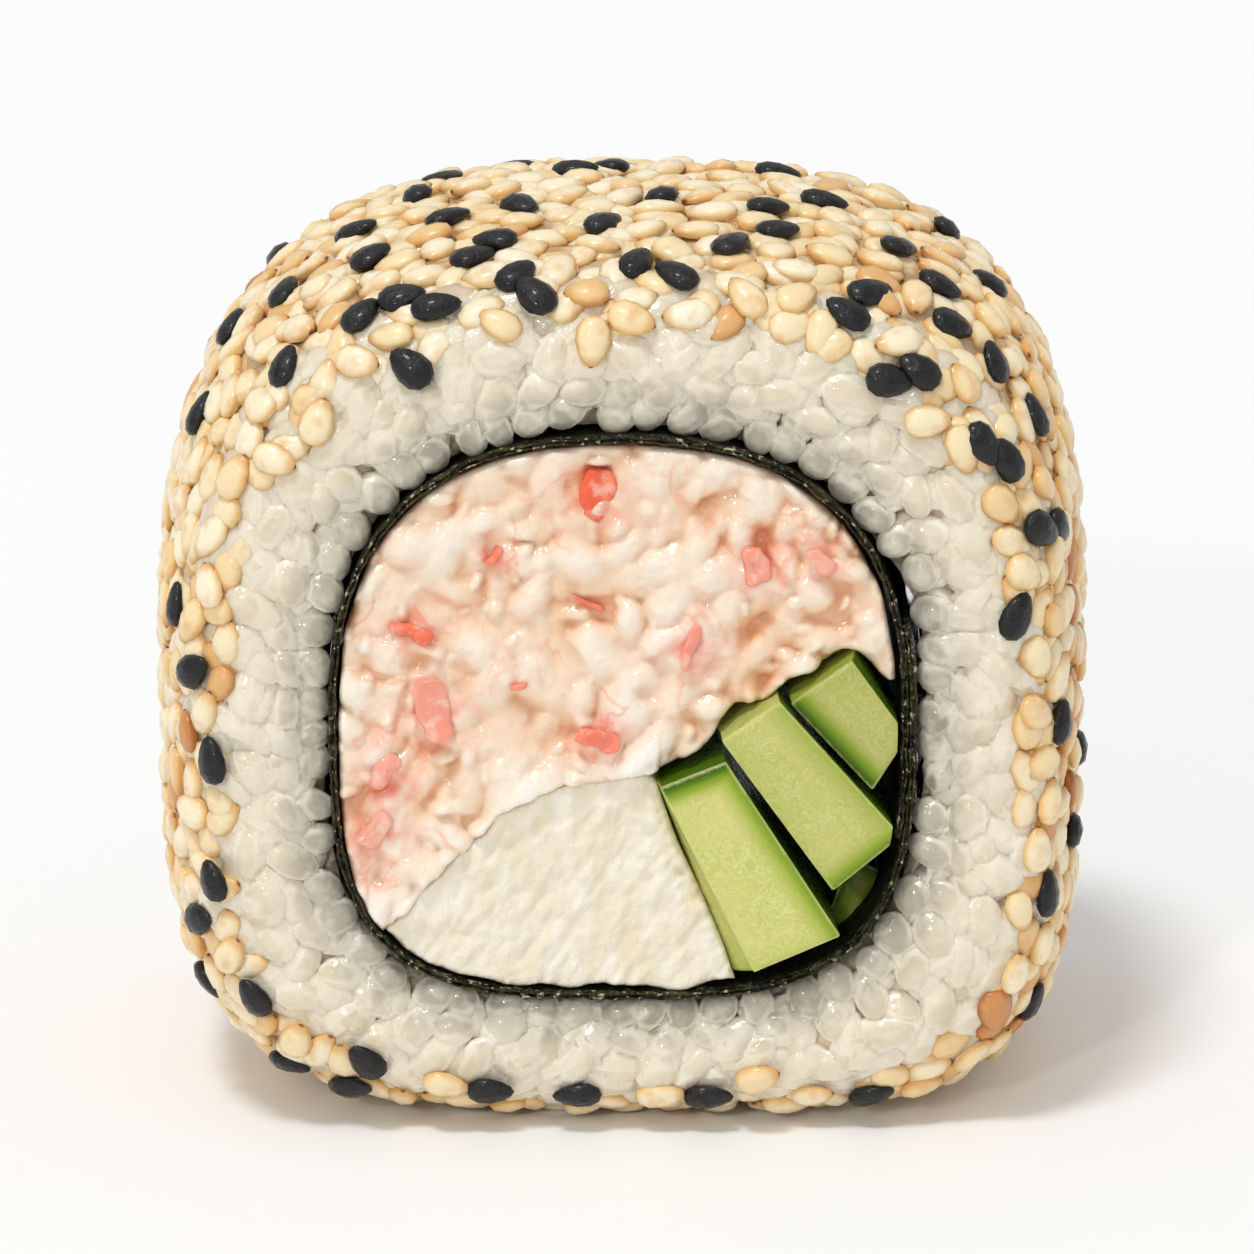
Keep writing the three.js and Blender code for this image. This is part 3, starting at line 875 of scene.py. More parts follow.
# Seeds that the photograph shows: middle in pixels, and turn in degrees
BLACK_SEEN = [
    (412, 368, 140), (291, 372, 70), (365, 322, 45), (404, 306, 15), (440, 313, 10), (535, 303, 135),
    (516, 284, 35), (288, 297, 65), (236, 330, 60), (274, 247, 25), (359, 237, 15), (373, 262, 30),
    (451, 224, 20), (497, 246, 177), (474, 262, 20), (417, 200, 130), (521, 212, -20), (605, 229, 25),
    (637, 270, 50), (675, 283, 150), (663, 202, 60), (575, 176, -2), (183, 603, 85), (204, 668, 35),
    (221, 757, 100), (222, 876, 105), (210, 915, 5), (215, 976, -65), (261, 990, 120), (296, 1054, -20),
    (369, 1053, 130), (354, 1073, 0), (491, 1080, 0), (578, 1083, 180), (708, 1084, 5), (870, 1080, 20),
    (1036, 889, 85), (1027, 997, 70), (1066, 828, 60), (1075, 745, 80), (1050, 720, 80), (1012, 612, 65),
    (998, 462, 120), (977, 443, -60), (1030, 528, -25), (1052, 527, -45), (1030, 417, 110), (989, 364, 110),
    (948, 328, -20), (887, 380, -5), (915, 373, 145), (845, 322, 150), (869, 298, 10), (898, 253, 10),
    (937, 290, -30), (943, 234, 30), (985, 287, 145), (731, 249, 40), (776, 236, 5), (767, 213, 0),
    (824, 207, -10), (777, 179, -5), (206, 415, 70),
]
PALE_SEEN = [
    (281, 461, -20), (218, 585, 100), (458, 340, 80), (594, 342, -95), (633, 322, -20), (925, 418, 5),
    (985, 325, -60), (997, 503, 80), (1020, 562, 75), (395, 333, 10), (363, 366, -10), (243, 478, 60),
    (660, 312, 120), (745, 306, 130), (320, 420, 70), (854, 352, 0), (228, 905, 80), (240, 948, 60),
    (302, 1030, 70), (398, 1076, 0), (446, 1074, -10), (661, 1083, 5), (758, 1071, 20), (838, 1077, 10),
    (917, 1074, 15), (953, 1056, 20), (1007, 966, 80), (1031, 938, 70), (1027, 845, 85), (1038, 797, 80),
]


class Layer:
    """Keeps the seeds of one layer apart on the unrolled outside of the rice.

    A seed is tried as three discs in a row, REACH apart. The discs of two seeds lie at least APART from each
    other, and a place is open where the other layers have no disc within OPEN.
    """

    CELL = 1.5
    APART = 1.5
    OPEN = 0.85
    REACH = 0.62

    def __init__(self, length):
        self.columns = int(length / self.CELL)
        self.length = length
        self.cells = {}

    def cell(self, along, over):
        return int(along / self.length * self.columns), int(over / self.CELL)

    def crowded(self, along, over, apart):
        """Whether a disc lies nearer than that."""
        column, row = self.cell(along, over)
        for i in (-1, 0, 1):
            for j in (-1, 0, 1):
                for u, v in self.cells.get(((column + i) % self.columns, row + j), ()):
                    gap = abs(along - u)
                    if math.hypot(min(gap, self.length - gap), over - v) < apart:
                        return True
        return False

    def takes(self, along, over, spin):
        """Takes a seed if there is room for it."""
        discs = [((along + k * math.cos(spin)) % self.length, over - k * math.sin(spin))
                 for k in (-self.REACH, 0, self.REACH)]
        if any(self.crowded(*disc, self.APART) for disc in discs):
            return False
        for disc in discs:
            self.cells.setdefault(self.cell(*disc), []).append(disc)
        return True


def coat_start(angle):
    eighths = len(COAT_START)
    return np.interp(angle / TURN % 1 * eighths, range(eighths + 1), (*COAT_START, COAT_START[0]))


def shown_at(points):
    """Where points of the roll show in the photograph, in pixels."""
    rise = points[:, 2] - CAMERA_AIM.z
    up = points[:, 1] * math.sin(CAMERA_RISE) + rise * math.cos(CAMERA_RISE)
    away = CAMERA_DISTANCE + points[:, 1] * math.cos(CAMERA_RISE) - rise * math.sin(CAMERA_RISE)
    scale = PHOTO_SCALE * CAMERA_DISTANCE / away
    return np.stack([PHOTO_CENTRE[0] + scale * points[:, 0], PHOTO_CENTRE[1] - scale * up], 1)


class Seen:
    """Finds the place on the rice that shows at a pixel of the photograph."""

    def __init__(self):
        nearest, furthest, step = 4.0, PATH_LENGTH * 0.7, 0.15
        angles, distances = np.meshgrid(np.linspace(0, TURN, 900), np.arange(nearest, furthest, step))
        self.angles, self.distances = angles.ravel(), distances.ravel()
        place, self.normal, self.around = rice_frame(self.angles, self.distances)
        self.shown = shown_at(place)
        self.shown[self.normal @ np.array(CAMERA_BACK) < 0.02] = np.inf

    def find(self, x, y, degrees):
        """Angle and path distance there, and the spin that turns a seed by these degrees in the picture."""
        index = ((self.shown - (x, y)) ** 2).sum(1).argmin()
        first = self.around[index]
        second = np.cross(self.normal[index], first)
        up = np.array(CAMERA_UP)
        seen = np.array([[first[0], second[0]], [first @ up, second @ up]])
        wanted = np.linalg.solve(seen, (math.cos(math.radians(degrees)), math.sin(math.radians(degrees))))
        return self.angles[index], self.distances[index], math.atan2(wanted[1], wanted[0])


def lift(over):
    """The seeds lie higher near the cut faces, where the grains stand out of the rice."""
    return LIFT * (1 - smoothstep(6.5, 9.5, min(over, PATH_LENGTH - over)))


def seen_seeds(pale, black, taken, draw):
    """Lays the seeds that the photograph shows. A pale one gives way where there is no room for it."""
    seen = Seen()
    angles, walked = ring_walk(PATH_LENGTH / 2)
    for spots, points in ((BLACK_SEEN, black), (PALE_SEEN, pale)):
        for x, y, degrees in spots:
            angle, distance, spin = seen.find(x, y, degrees)
            if not taken.takes(np.interp(angle, angles, walked), distance, spin) and points is pale:
                continue
            size, tone = tuple(draw.uniform(0.92, 1.04, 3)), draw.uniform(0.1, 0.6)
            points.lay(draw, angle, distance, SEEN_RISE + lift(distance), size, tone, spin,
                       sway=(0.15, 0.1), lowest=SEEN_LOWEST)


def shade_and_toasting(angle):
    """The seeds at the right of the roll are browner, as painted shade with some toasting, and less so those
    at its left.
    """
    across = math.cos(angle)
    return 0.2 * across if across > 0 else -0.08 * across


def seed_tone(draw, angle):
    """Most seeds are pale, some are toasted and a few are brown."""
    kind = draw.random()
    tone = draw.uniform(0, 0.5) if kind < 0.87 else draw.uniform(0.5, 0.85 if kind < 0.97 else 1.0)
    # Painted shade and toasting make the seeds at the right, and a little at the left, browner
    return min(1.0, tone + shade_and_toasting(angle))


def sesame_points():
    draw = np.random.default_rng(SEED_DRAWS)
    pale, black = Points(), Points()
    angles, walked = ring_walk(PATH_LENGTH / 2)
    first = min(COAT_START) - RAGGED
    laid_layers = []
    for layer in SEED_LAYERS:
        taken = Layer(walked[-1])
        filling = layer is SEED_LAYERS[-1]
        if not laid_layers:
            seen_seeds(pale, black, taken, draw)
        for _ in range(SEED_TRIES):
            along = draw.uniform(0, walked[-1])
            over = draw.uniform(first, PATH_LENGTH - first)
            angle = np.interp(along, walked, angles)
            spin = draw.normal(0, 0.75) + (math.pi if draw.random() < 0.5 else 0)
            edge = RAGGED * noise.noise(Vector((along / 4, 0, layer["rise"])))
            if min(over, PATH_LENGTH - over) < coat_start(angle) + edge:
                continue
            if filling and any(under.crowded(along, over, Layer.OPEN) for under in laid_layers):
                continue
            if not taken.takes(along, over, spin):
                continue
            dark = draw.random() < layer["black"] and over > PATH_LENGTH * HIDDEN_SHARE
            tone, size = seed_tone(draw, angle), tuple(draw.uniform(0.88, 1.12, 3))
            (black if dark else pale).lay(draw, angle, over, layer["rise"] + lift(over), size, tone, spin,
                                          sway=(0.2, 0.16), lowest=LOWEST)
        laid_layers.append(taken)
    return pale.table(), black.table()


def sesame():
    shape = bead_shape("seed_shape", 8, 6, 0.26, 1.15)
    tree = scatter_tree("lay_seeds", False)
    kinds = (("sesame_pale", pale_sesame()), ("sesame_black", black_sesame()))
    for (name, material), points in zip(kinds, sesame_points()):
        mesh = scattered(name, tree, points, shape, SEED, material)
        kept_above_floor(mesh)
        finished(name, mesh, material, "rice", "rice")
    bpy.data.objects.remove(shape)


# Bodies that run through the roll

# Where the rows of a wall lie from a face, 0, to the middle, 1, and where its flare is full
WALL_SHARES = (0.02, 0.06, 0.12, 0.2, 0.32, 0.5, 0.75)
FLARED = 0.12
# The walls come this much closer to the nori than the solids do
CLOSER = 0.24
# They keep at most this far in from it, unevenly, and other outlines end as far from it
TUBE_MARGIN = 0.5


def evenly(points, spacing):
    """A closed outline walked in even steps."""
    closed = np.concatenate([points, points[:1]])
    walked = walked_along(closed)
    count = int(round(walked[-1] / spacing))
    steps = np.arange(count) / count * walked[-1]
    return np.stack([np.interp(steps, walked, closed[:, i]) for i in (0, 1)], 1)


def inside(points, outline):
    """Which points lie inside a closed outline, by counting the edges to their right."""
    x, z = points[:, 0, None], points[:, 1, None]
    start, end = outline, np.roll(outline, -1, axis=0)
    crossed = (start[:, 1] > z) != (end[:, 1] > z)
    rise = np.where(end[:, 1] == start[:, 1], 1, end[:, 1] - start[:, 1])
    at = (end[:, 0] - start[:, 0]) * (z - start[:, 1]) / rise + start[:, 0]
    return (crossed & (x < at)).sum(1) % 2 == 1


def edge_distance(points, outline):
    """How far each point is from an outline's nearest edge."""
    best = np.full(len(points), np.inf)
    for start, end in zip(outline, np.roll(outline, -1, axis=0)):
        along = end - start
        share = np.clip((points - start) @ along / (along @ along), 0, 1)
        best = np.minimum(best, np.linalg.norm(points - start - share[:, None] * along, axis=1))
    return best


class Slab:
    """A body with a cut face at each end of the roll and walls between them.

    The relief of a face is how far it lies in from the plane at half_depth. The flare gives where the walls
    go from the faces' outline, and the drift the share of the roll's sideways drift at each point.
    """

    def __init__(self, name, outline, half_depth, spacing, relief, flare=None, drift=1.0):
        self.name = name
        self.face = evenly(np.array(outline, float), spacing)
        self.flat, self.triangles = self.fill(spacing)
        self.edge = edge_distance(self.flat, self.face)
        self.around = len(self.face)
        reliefs = [relief(self.flat, self.edge, end) for end in (0, 1)]
        self.depth = np.concatenate(reliefs)
        front = np.column_stack([self.flat[:, 0], reliefs[0] - half_depth, self.flat[:, 1]])
        back = np.column_stack([self.flat[:, 0], half_depth - reliefs[1], self.flat[:, 1]])
        wide = self.face if flare is None else flare(self.face)
        rows = self.walls(front[:self.around], back[:self.around], wide)
        self.points = np.concatenate([front, back, *rows])
        self.drifted(drift)
        self.kept_in()
        self.faces = self.joined(len(rows))
        self.wall_start = 2 * len(self.flat)
        self.on_walls = len(self.points) - self.wall_start
        self.flat_of_all = np.concatenate([self.flat, self.flat] + [self.face] * len(rows))

    def fill(self, spacing):
        """Points all over a face, its outline first, and the triangles between them."""
        low, high = self.face.min(0), self.face.max(0)
        rows = np.arange(low[1], high[1], spacing * math.sqrt(0.75))
        columns = np.arange(low[0], high[0], spacing)
        lattice = np.concatenate([np.column_stack([columns + (i % 2) * spacing / 2, np.full(len(columns), z)])
                                  for i, z in enumerate(rows)])
        lattice = lattice[inside(lattice, self.face)]
        lattice = lattice[edge_distance(lattice, self.face) > spacing * 0.55]
        flat = np.concatenate([self.face, lattice])
        count = len(self.face)
        rim = [(i, (i + 1) % count) for i in range(count)]
        result = delaunay_2d_cdt([Vector(p) for p in flat], rim, [], 1, 1e-5)
        source = [found[0] for found in result[3]]
        return flat, [[source[i] for i in triangle] for triangle in result[2]]

    def walls(self, front, back, wide):
        """Rows of the walls' points, from behind the front face to before the back one."""
        middle = (front[:, 1] + back[:, 1]) / 2
        depths = [(front[:, 1] + (middle - front[:, 1]) * share, share) for share in WALL_SHARES]
        depths.append((middle, 1.0))
        depths += [(back[:, 1] + (middle - back[:, 1]) * share, share) for share in reversed(WALL_SHARES)]
        rows = []
        for y, share in depths:
            x, z = (self.face + (wide - self.face) * smoothstep(0, FLARED, share)).T
            rows.append(np.column_stack([x, y, z]))
        return rows

    def drifted(self, drift):
        share = drift(self.points) if callable(drift) else drift
        self.points[:, 0] += DRIFT * (self.points[:, 1] + HALF_DEPTH) * share

    def kept_in(self):
        """Draws in what would reach into the nori."""
        angles, radius = polar(self.points[:, 0], self.points[:, 2])
        share = np.minimum(1, (inside_of_tube(angles) + CLOSER) / np.maximum(radius, 1e-6))
        self.points[:, 0] *= share
        self.points[:, 2] = AXIS_Z + (self.points[:, 2] - AXIS_Z) * share

    def joined(self, rows):
        """The triangles of both faces, and the quads of the walls."""
        count, flat = self.around, len(self.flat)
        faces = [tuple(t) for t in self.triangles]
        faces += [tuple(flat + i for i in reversed(t)) for t in self.triangles]
        starts = [0] + [2 * flat + row * count for row in range(rows)] + [flat]
        for near, far in zip(starts, starts[1:]):
            for i in range(count):
                after = (i + 1) % count
                faces.append((near + i, far + i, far + after, near + after))
        return faces

    def values(self, faces, wall):
        """Values of all points, from those of both faces and one for the walls."""
        return np.concatenate([faces, np.full(self.on_walls, wall)])

    def mesh(self):
        made = mesh_of(self.name, self.points, self.faces)
        facing_out(made)
        return made


def tube_arc(start, end, count, inset):
    """Points just inside the nori, from one angle to another."""
    angles = np.linspace(start, end, count)
    points = on_ray(angles, inside_of_tube(angles), 0 * angles)
    gaps = np.clip(inset * (0.5 + roughness(points, 2.2, 5.0)), 0.02, inset)
    return on_ray(angles, inside_of_tube(angles) + CLOSER - gaps, 0 * angles)[:, [0, 2]]


def angle_of(point):
    return polar(*point)[0]


def inside_tube(points, margin=TUBE_MARGIN):
    points = np.array(points, float)
    angles, radius = polar(points[:, 0], points[:, 1])
    return points[radius < inside_of_tube(angles) - margin]


def rounded_line(points, steps):
    """A smooth line through points, with that many steps between two of them."""
    points = np.array(points, float)
    padded = np.concatenate([[2 * points[0] - points[1]], points, [2 * points[-1] - points[-2]]])
    line = []
    for a, b, c, d in zip(padded, padded[1:], padded[2:], padded[3:]):
        for t in np.arange(steps) / steps:
            line.append(0.5 * ((2 * b) + (c - a) * t + (2 * a - 5 * b + 4 * c - d) * t ** 2
                               + (3 * b - a - 3 * c + d) * t ** 3))
    return np.array(line + [points[-1]])


def rounding(edge, radius):
    """How far a rounded edge falls back, by the distance from the edge."""
    near = np.clip(radius - edge, 0, radius)
    return radius - np.sqrt(radius ** 2 - near ** 2)


def wide_points(flat, end=0):
    """Points of a face as places in space, for noise that differs at the two ends."""
    apart = 40.0
    return np.column_stack([flat[:, 0], np.full(len(flat), apart * end), flat[:, 1]])


# Cucumber

# The front ends of the sticks: corners from the top right anticlockwise, how proud they stand, how strong
# the skin shows on the face along its top, left, bottom and right edge, how green the walls are there, as
# skin and partly as painted shade, and how far they lean out
STICKS = [
    {"corners": [(5.45, 20.95), (2.03, 19.55), (6.98, 9.4), (11.5, 11.4)], "proud": 0.4,
     "skin": (1.0, 0.0, 0.12, 0.55), "walls": (0.8, 0.1, 0.5, 0.75), "flare": (0, 1.1, 0, 0)},
    {"corners": [(8.2, 24.3), (5.2, 22.2), (11.05, 14.0), (14.6, 17.0)], "proud": 0.7,
     "skin": (0.0, 0.1, 0.62, 0.3), "walls": (0.12, 0.5, 0.8, 0.65), "flare": (0, 0, 0, 0)},
    {"corners": [(11.95, 26.4), (8.8, 24.1), (13.1, 19.4), (14.9, 22.3)], "proud": 0.3,
     "skin": (0.1, 0.95, 0.1, 0.0), "walls": (0.28, 0.75, 0.6, 0.75), "flare": (0, 0, 0, 0.4)},
    # Painted shade: the fourth stick lies deep in, and its face and walls are dark green all over
    {"corners": [(14.4, 13.2), (12.4, 14.2), (11.2, 10.5), (13.1, 9.5)], "proud": -4.5,
     "skin": (0.9, 0.9, 0.9, 0.9), "walls": (0.95, 0.95, 0.95, 0.95), "flare": (0, 0, 0, 0)},
]
# How far the skin's green reaches into a face, how far the pale rim of painted highlight does, and how fine
# the faces are
SKIN_REACH = 1.5
PAINTED_RIM_REACH = 0.2
STICK_GRID = 0.2


def side_ways(corners):
    """Each side of the face, top, left, bottom and right: its start, its direction and its length."""
    for start, end in zip(corners, np.roll(corners, -1, axis=0)):
        length = np.linalg.norm(end - start)
        yield start, (end - start) / length, length


def side_distances(points, corners):
    """Distance of each point from each side of the face."""
    return np.stack([np.abs((points - start) @ np.array((-way[1], way[0])))
                     for start, way, _ in side_ways(corners)], 1)


def cucumber(number, stick, material):
    corners = np.array(stick["corners"])
    name = f"cucumber_stick_{number}"

    def relief(flat, edge, end):
        waves = roughness(wide_points(flat, end), 2.5, number) * 0.05
        return rounding(edge, 0.12) + 0.05 + waves

    def flare(face):
        wide = face.copy()
        away = side_distances(face, corners)
        for side, (start, way, length) in enumerate(side_ways(corners)):
            outward = np.array((way[1], -way[0]))
            share = np.clip((face - start) @ way / length, 0, 1)
            lean = stick["flare"][side] * (0.12 + share) * (away[:, side] < 0.05)
            wide += outward * lean[:, None]
        return wide

    slab = Slab(name, corners, HALF_DEPTH + stick["proud"], STICK_GRID, relief, flare)
    away = side_distances(slab.flat_of_all, corners)
    skin = (np.array(stick["skin"]) * np.clip(1 - away / SKIN_REACH, 0, 1) ** 1.3).max(1)
    walls = np.array(stick["walls"])[away.argmin(1)]
    on_wall = np.arange(len(skin)) >= slab.wall_start
    edge = 1 - np.clip(slab.edge / PAINTED_RIM_REACH, 0, 1)
    mesh = slab.mesh()
    store(mesh, "rind", np.where(on_wall, walls, skin))
    store(mesh, "shade", np.full(len(skin), (number - 1) / 2))
    store(mesh, "edge", slab.values(np.tile(edge, 2), 0.0))
    mesh.set_sharp_from_angle(angle=math.radians(50))
    finished(name, mesh, material, "cucumber", f"cucumber_{number}")


# Cream cheese

# The upper edge, from the nori at the left to the tip, and the side beside the cucumber
CHEESE_EDGE = [(-17, 7.5), (-12.1, 11.9), (-8.4, 15.8), (-4.9, 18.7), (-1.8, 19.8), (1.4, 20.2)]
CHEESE_SIDE = [(1.95, 19.4), (3.0, 16.3), (4.2, 13.6), (5.45, 10.5), (6.15, 8.2)]
# How far the cheese and the salad each keep from their seam
SEAM_GAP = 0.04
CHEESE_GRID = 0.17
# How high the tears and the lumps of its cut face are, and how much higher the lumps near the salad
TEARS = 0.17
CHEESE_LUMPS = 0.05
TOP_LUMPS = 0.3


def seam_line(side):
    """The uneven seam between the cheese, on side -1, and the crab salad, on side 1."""
    line = rounded_line(CHEESE_EDGE, 30)
    ragged = roughness(wide_points(line), 1.7, 2.0) * 0.4
    return inside_tube(line + np.column_stack([-ragged - side * SEAM_GAP, ragged + side * SEAM_GAP]))


def cheese_outline():
    top = seam_line(-1)
    side = inside_tube(rounded_line(CHEESE_SIDE, 10))
    end = angle_of(top[0])
    arc = tube_arc(angle_of(side[-1]), end - (TURN if end > 0 else 0), 120, 0.48)
    return np.concatenate([top, side, arc])[::-1]


def cheese_relief(flat, edge, end):
    """Soft diagonal tears, rougher towards the crab salad."""
    slope, narrow, drawn_out, apart = math.radians(35), 0.8, 3.0, 30.0
    across = flat[:, 0] * math.cos(slope) - flat[:, 1] * math.sin(slope)
    along = flat[:, 0] * math.sin(slope) + flat[:, 1] * math.cos(slope)
    stretched = np.column_stack([across / narrow, np.full(len(flat), apart * end), along / drawn_out])
    tears = roughness(stretched, 1.0, 1.0, 3)
    near_top = np.exp(-edge / 2.0) * (flat[:, 1] > 11.0)
    lumps = roughness(wide_points(flat, end), 1.3, 8.0, 2)
    fall = FILLING_INSET + 0.3 + rounding(edge, 0.3)
    return fall - TEARS * tears - lumps * (CHEESE_LUMPS + TOP_LUMPS * near_top)


def cheese():
    name = "cream_cheese_wedge"
    slab = Slab(name, cheese_outline(), HALF_DEPTH, CHEESE_GRID, cheese_relief)
    mesh = slab.mesh()
    store(mesh, "height", np.clip(slab.values(FILLING_INSET + 0.9 - slab.depth, 0.3), 0, 1))
    finished(name, mesh, torn_cheese(), "cream_cheese", "cream_cheese")


# Crab salad

# Lower edge of the salad in front, from the tip of the cheese over the cucumber to the nori
CRAB_LOBES = [(2.0, 20.2), (2.7, 20.5), (3.3, 20.7), (3.9, 21.1), (4.4, 21.4), (4.9, 22.1), (5.3, 22.9),
              (6.0, 23.6), (6.8, 23.7), (7.6, 24.0), (8.3, 24.6), (9.2, 25.3), (10.2, 25.6), (11.2, 26.5),
              (12.0, 26.7), (12.7, 26.3), (13.4, 25.5), (14.0, 25.0), (14.6, 25.1), (16.0, 25.6)]
# The same edge further in, close over the cucumber
CRAB_EDGE = [(2.2, 20.9), (4.1, 22.0), (6.4, 23.9), (9.3, 25.0), (11.9, 26.7), (17.0, 23.8)]
# How far the highest flakes stand over the lowest place, and how fine the faces are
CRAB_RISE = 1.3
CRAB_GRID = 0.16
# The salad's face lies over the cheese by about this much
OVERHANG = 0.36
# Reddened places in front, with their radius
BLUSHES = [(-1.2, 34.9, 1.6), (-10.9, 27.7, 1.2), (-9.6, 23.1, 1.8), (-1.2, 22.0, 1.4), (7.0, 31.3, 1.5),
           (10.3, 31.6, 1.2), (-6.5, 31.8, 0.9), (-12.2, 19.4, 1.6), (3.6, 26.4, 1.3), (-12.8, 16.4, 1.6)]


def crab_outline():
    seam = seam_line(1)
    down = OVERHANG * (0.6 + 0.6 * roughness(wide_points(seam), 0.9, 31.0))
    seam = inside_tube(seam + np.column_stack([0.7 * down, -down]))
    lobes = inside_tube(rounded_line(CRAB_LOBES, 6), 0.1)
    end = angle_of(seam[0])
    arc = tube_arc(angle_of(lobes[-1]), end + (TURN if end < 0 else 0), 260, 0.12)
    return np.concatenate([seam, lobes, arc])


def crab_flare(face):
    """Behind the lobes in front, the salad comes down close over the cucumber."""
    wide = face.copy()
    edge = np.array(CRAB_EDGE)
    under = np.interp(face[:, 0], edge[:, 0], edge[:, 1])
    lower = (face[:, 0] > 2.3) & (face[:, 0] < 15.0) & (np.abs(face[:, 1] - under) < 1.6)
    wide[:, 1] = np.where(lower, np.minimum(face[:, 1], under), face[:, 1])
    seam = seam_line(1)
    above = np.interp(face[:, 0], seam[:, 0], seam[:, 1])
    over = (face[:, 0] < 1.6) & (np.abs(face[:, 1] - above) < 2.0) & (face[:, 1] < above)
    wide[:, 1] = np.where(over, above, wide[:, 1])
    return wide


# Large and small flakes: how far apart, shortest and longest half length, lowest and highest lift
FLAKE_SIZES = [(1.4, 1.3, 2.5, 0.35, 1.0), (1.1, 0.6, 1.2, 0.3, 0.85)]
# They are tried all over the salad, between these corners
FLAKE_TRIES = 1500
FLAKE_FIELD = ((-15, 11), (15, 38))
# How sharply one flake ends at another, and how many deep hollows there are
SHARPNESS = 11.0
HOLLOWS = 12


@functools.cache
def crab_flakes(end):
    """Flakes in the salad: place, half length, half width, lift, spin, tilt and how soft their edge is."""
    draw = np.random.default_rng(FLAKE_DRAWS + end)
    flakes = []
    for apart, shortest, longest, low, high in FLAKE_SIZES:
        kept = np.empty((0, 2))
        for place in draw.uniform(*FLAKE_FIELD, (FLAKE_TRIES, 2)):
            if len(kept) and np.hypot(*(kept - place).T).min() < apart:
                continue
            kept = np.vstack([kept, place])
            half = draw.uniform(shortest, longest)
            flakes.append((place, half, half * draw.uniform(0.45, 0.75), draw.uniform(low, high),
                           draw.normal(0.8, 0.8), draw.uniform(-0.35, 0.35), draw.uniform(0.6, 1.3)))
    return flakes


def crab_height(flat, end):
    """Flakes lying over and beside each other, blended a little where they meet."""
    total = np.full(len(flat), 1.0)
    places = wide_points(flat, end)
    bent = flat + 0.3 * np.column_stack([roughness(places, 1.6, 11.0), roughness(places, 1.6, 17.0)])
    for place, half_length, half_width, lift, spin, tilt, crisp in crab_flakes(end):
        away = bent - place
        near = np.flatnonzero((away ** 2).sum(1) < half_length ** 2)
        away = away[near]
        along = (away[:, 0] * math.cos(spin) + away[:, 1] * math.sin(spin)) / half_length
        across = (away[:, 1] * math.cos(spin) - away[:, 0] * math.sin(spin)) / half_width
        ring = np.abs(along) ** 2.4 + np.abs(across) ** 2.4
        dome = np.clip(1 - ring, 0, 1) ** crisp * (lift + tilt * along)
        total[near] += np.expm1(SHARPNESS * np.clip(dome, 0, None))
    height = np.log(total) / SHARPNESS
    draw = np.random.default_rng(HOLLOW_DRAWS + end)
    for _ in range(HOLLOWS):
        place = np.array((draw.uniform(-12, 12), draw.uniform(20, 36)))
        deep, wide = draw.uniform(0.3, 0.65), draw.uniform(0.6, 1.1)
        height -= deep * np.exp(-((flat - place) ** 2).sum(1) / wide ** 2)
    fine = roughness(places, 0.7, 3.0, 2) * 0.07
    above_seam = flat[:, 1] - np.interp(flat[:, 0], *np.array(CHEESE_EDGE).T)
    height += 0.35 * np.exp(-(above_seam / 1.2) ** 2) * (flat[:, 0] < 2)
    return np.clip(height + fine, -0.6, CRAB_RISE)


def crab_relief(flat, edge, end):
    return CRAB_RISE - crab_height(flat, end) + rounding(edge, 0.35)


def crab_drift(points):
    """The salad follows the cheese and cucumber below it, and keeps its place under the nori above."""
    edge = np.array(CHEESE_EDGE[:-1] + CRAB_EDGE)
    high = smoothstep(0.5, 6.0, points[:, 2] - np.interp(points[:, 0], edge[:, 0], edge[:, 1]))
    return (1 - high) * (1 - smoothstep(9.0, 13.5, points[:, 0]))


# Red flakes in front: place, length, width, spin in degrees and how pale they are
RED_FLAKES = [
    (-1.25, 35.0, 2.7, 1.9, 66, 0.0), (-10.9, 27.7, 2.3, 0.8, -20, 0.1), (-9.8, 23.6, 3.7, 1.6, 105, 0.45),
    (-1.25, 22.0, 2.4, 1.1, -18, 0.2), (7.0, 31.4, 2.0, 1.3, 100, 0.4), (-6.7, 31.8, 1.2, 0.45, 50, 0.1),
    (-5.3, 24.9, 0.9, 0.4, 25, 0.2), (10.3, 31.6, 1.5, 0.9, -50, 0.6), (-12.4, 20.3, 2.2, 1.1, 60, 0.5),
    (3.6, 27.0, 2.4, 0.6, 75, 0.45), (-12.9, 17.0, 2.4, 1.2, 50, 0.6), (-1.7, 29.2, 1.9, 0.35, -30, 0.2),
]
BACK_FLAKES = 12
# Thickness of a red flake, how far it curls up, how lumpy it is, and how high its middle lies in the salad
FLAKE_THICK = 0.7
FLAKE_CURL = 0.12
FLAKE_LUMPS = 0.3
FLAKE_SUNK = 0.13


def flake_rows(sides, rings):
    """A rounded block of unit size, as rows of points from one end to the other."""
    power = 2 / 3.6
    turns = np.arange(sides) / sides * TURN
    rows = []
    for tilt in np.linspace(-1.4, 1.4, rings):
        girth = abs(math.cos(tilt)) ** power
        z = signed_power(math.sin(tilt), power)
        x, y = girth * signed_power(np.cos(turns), power), girth * signed_power(np.sin(turns), power)
        rows.append(np.column_stack([x, y, np.full(sides, z)]) / 2)
    return np.array(rows)


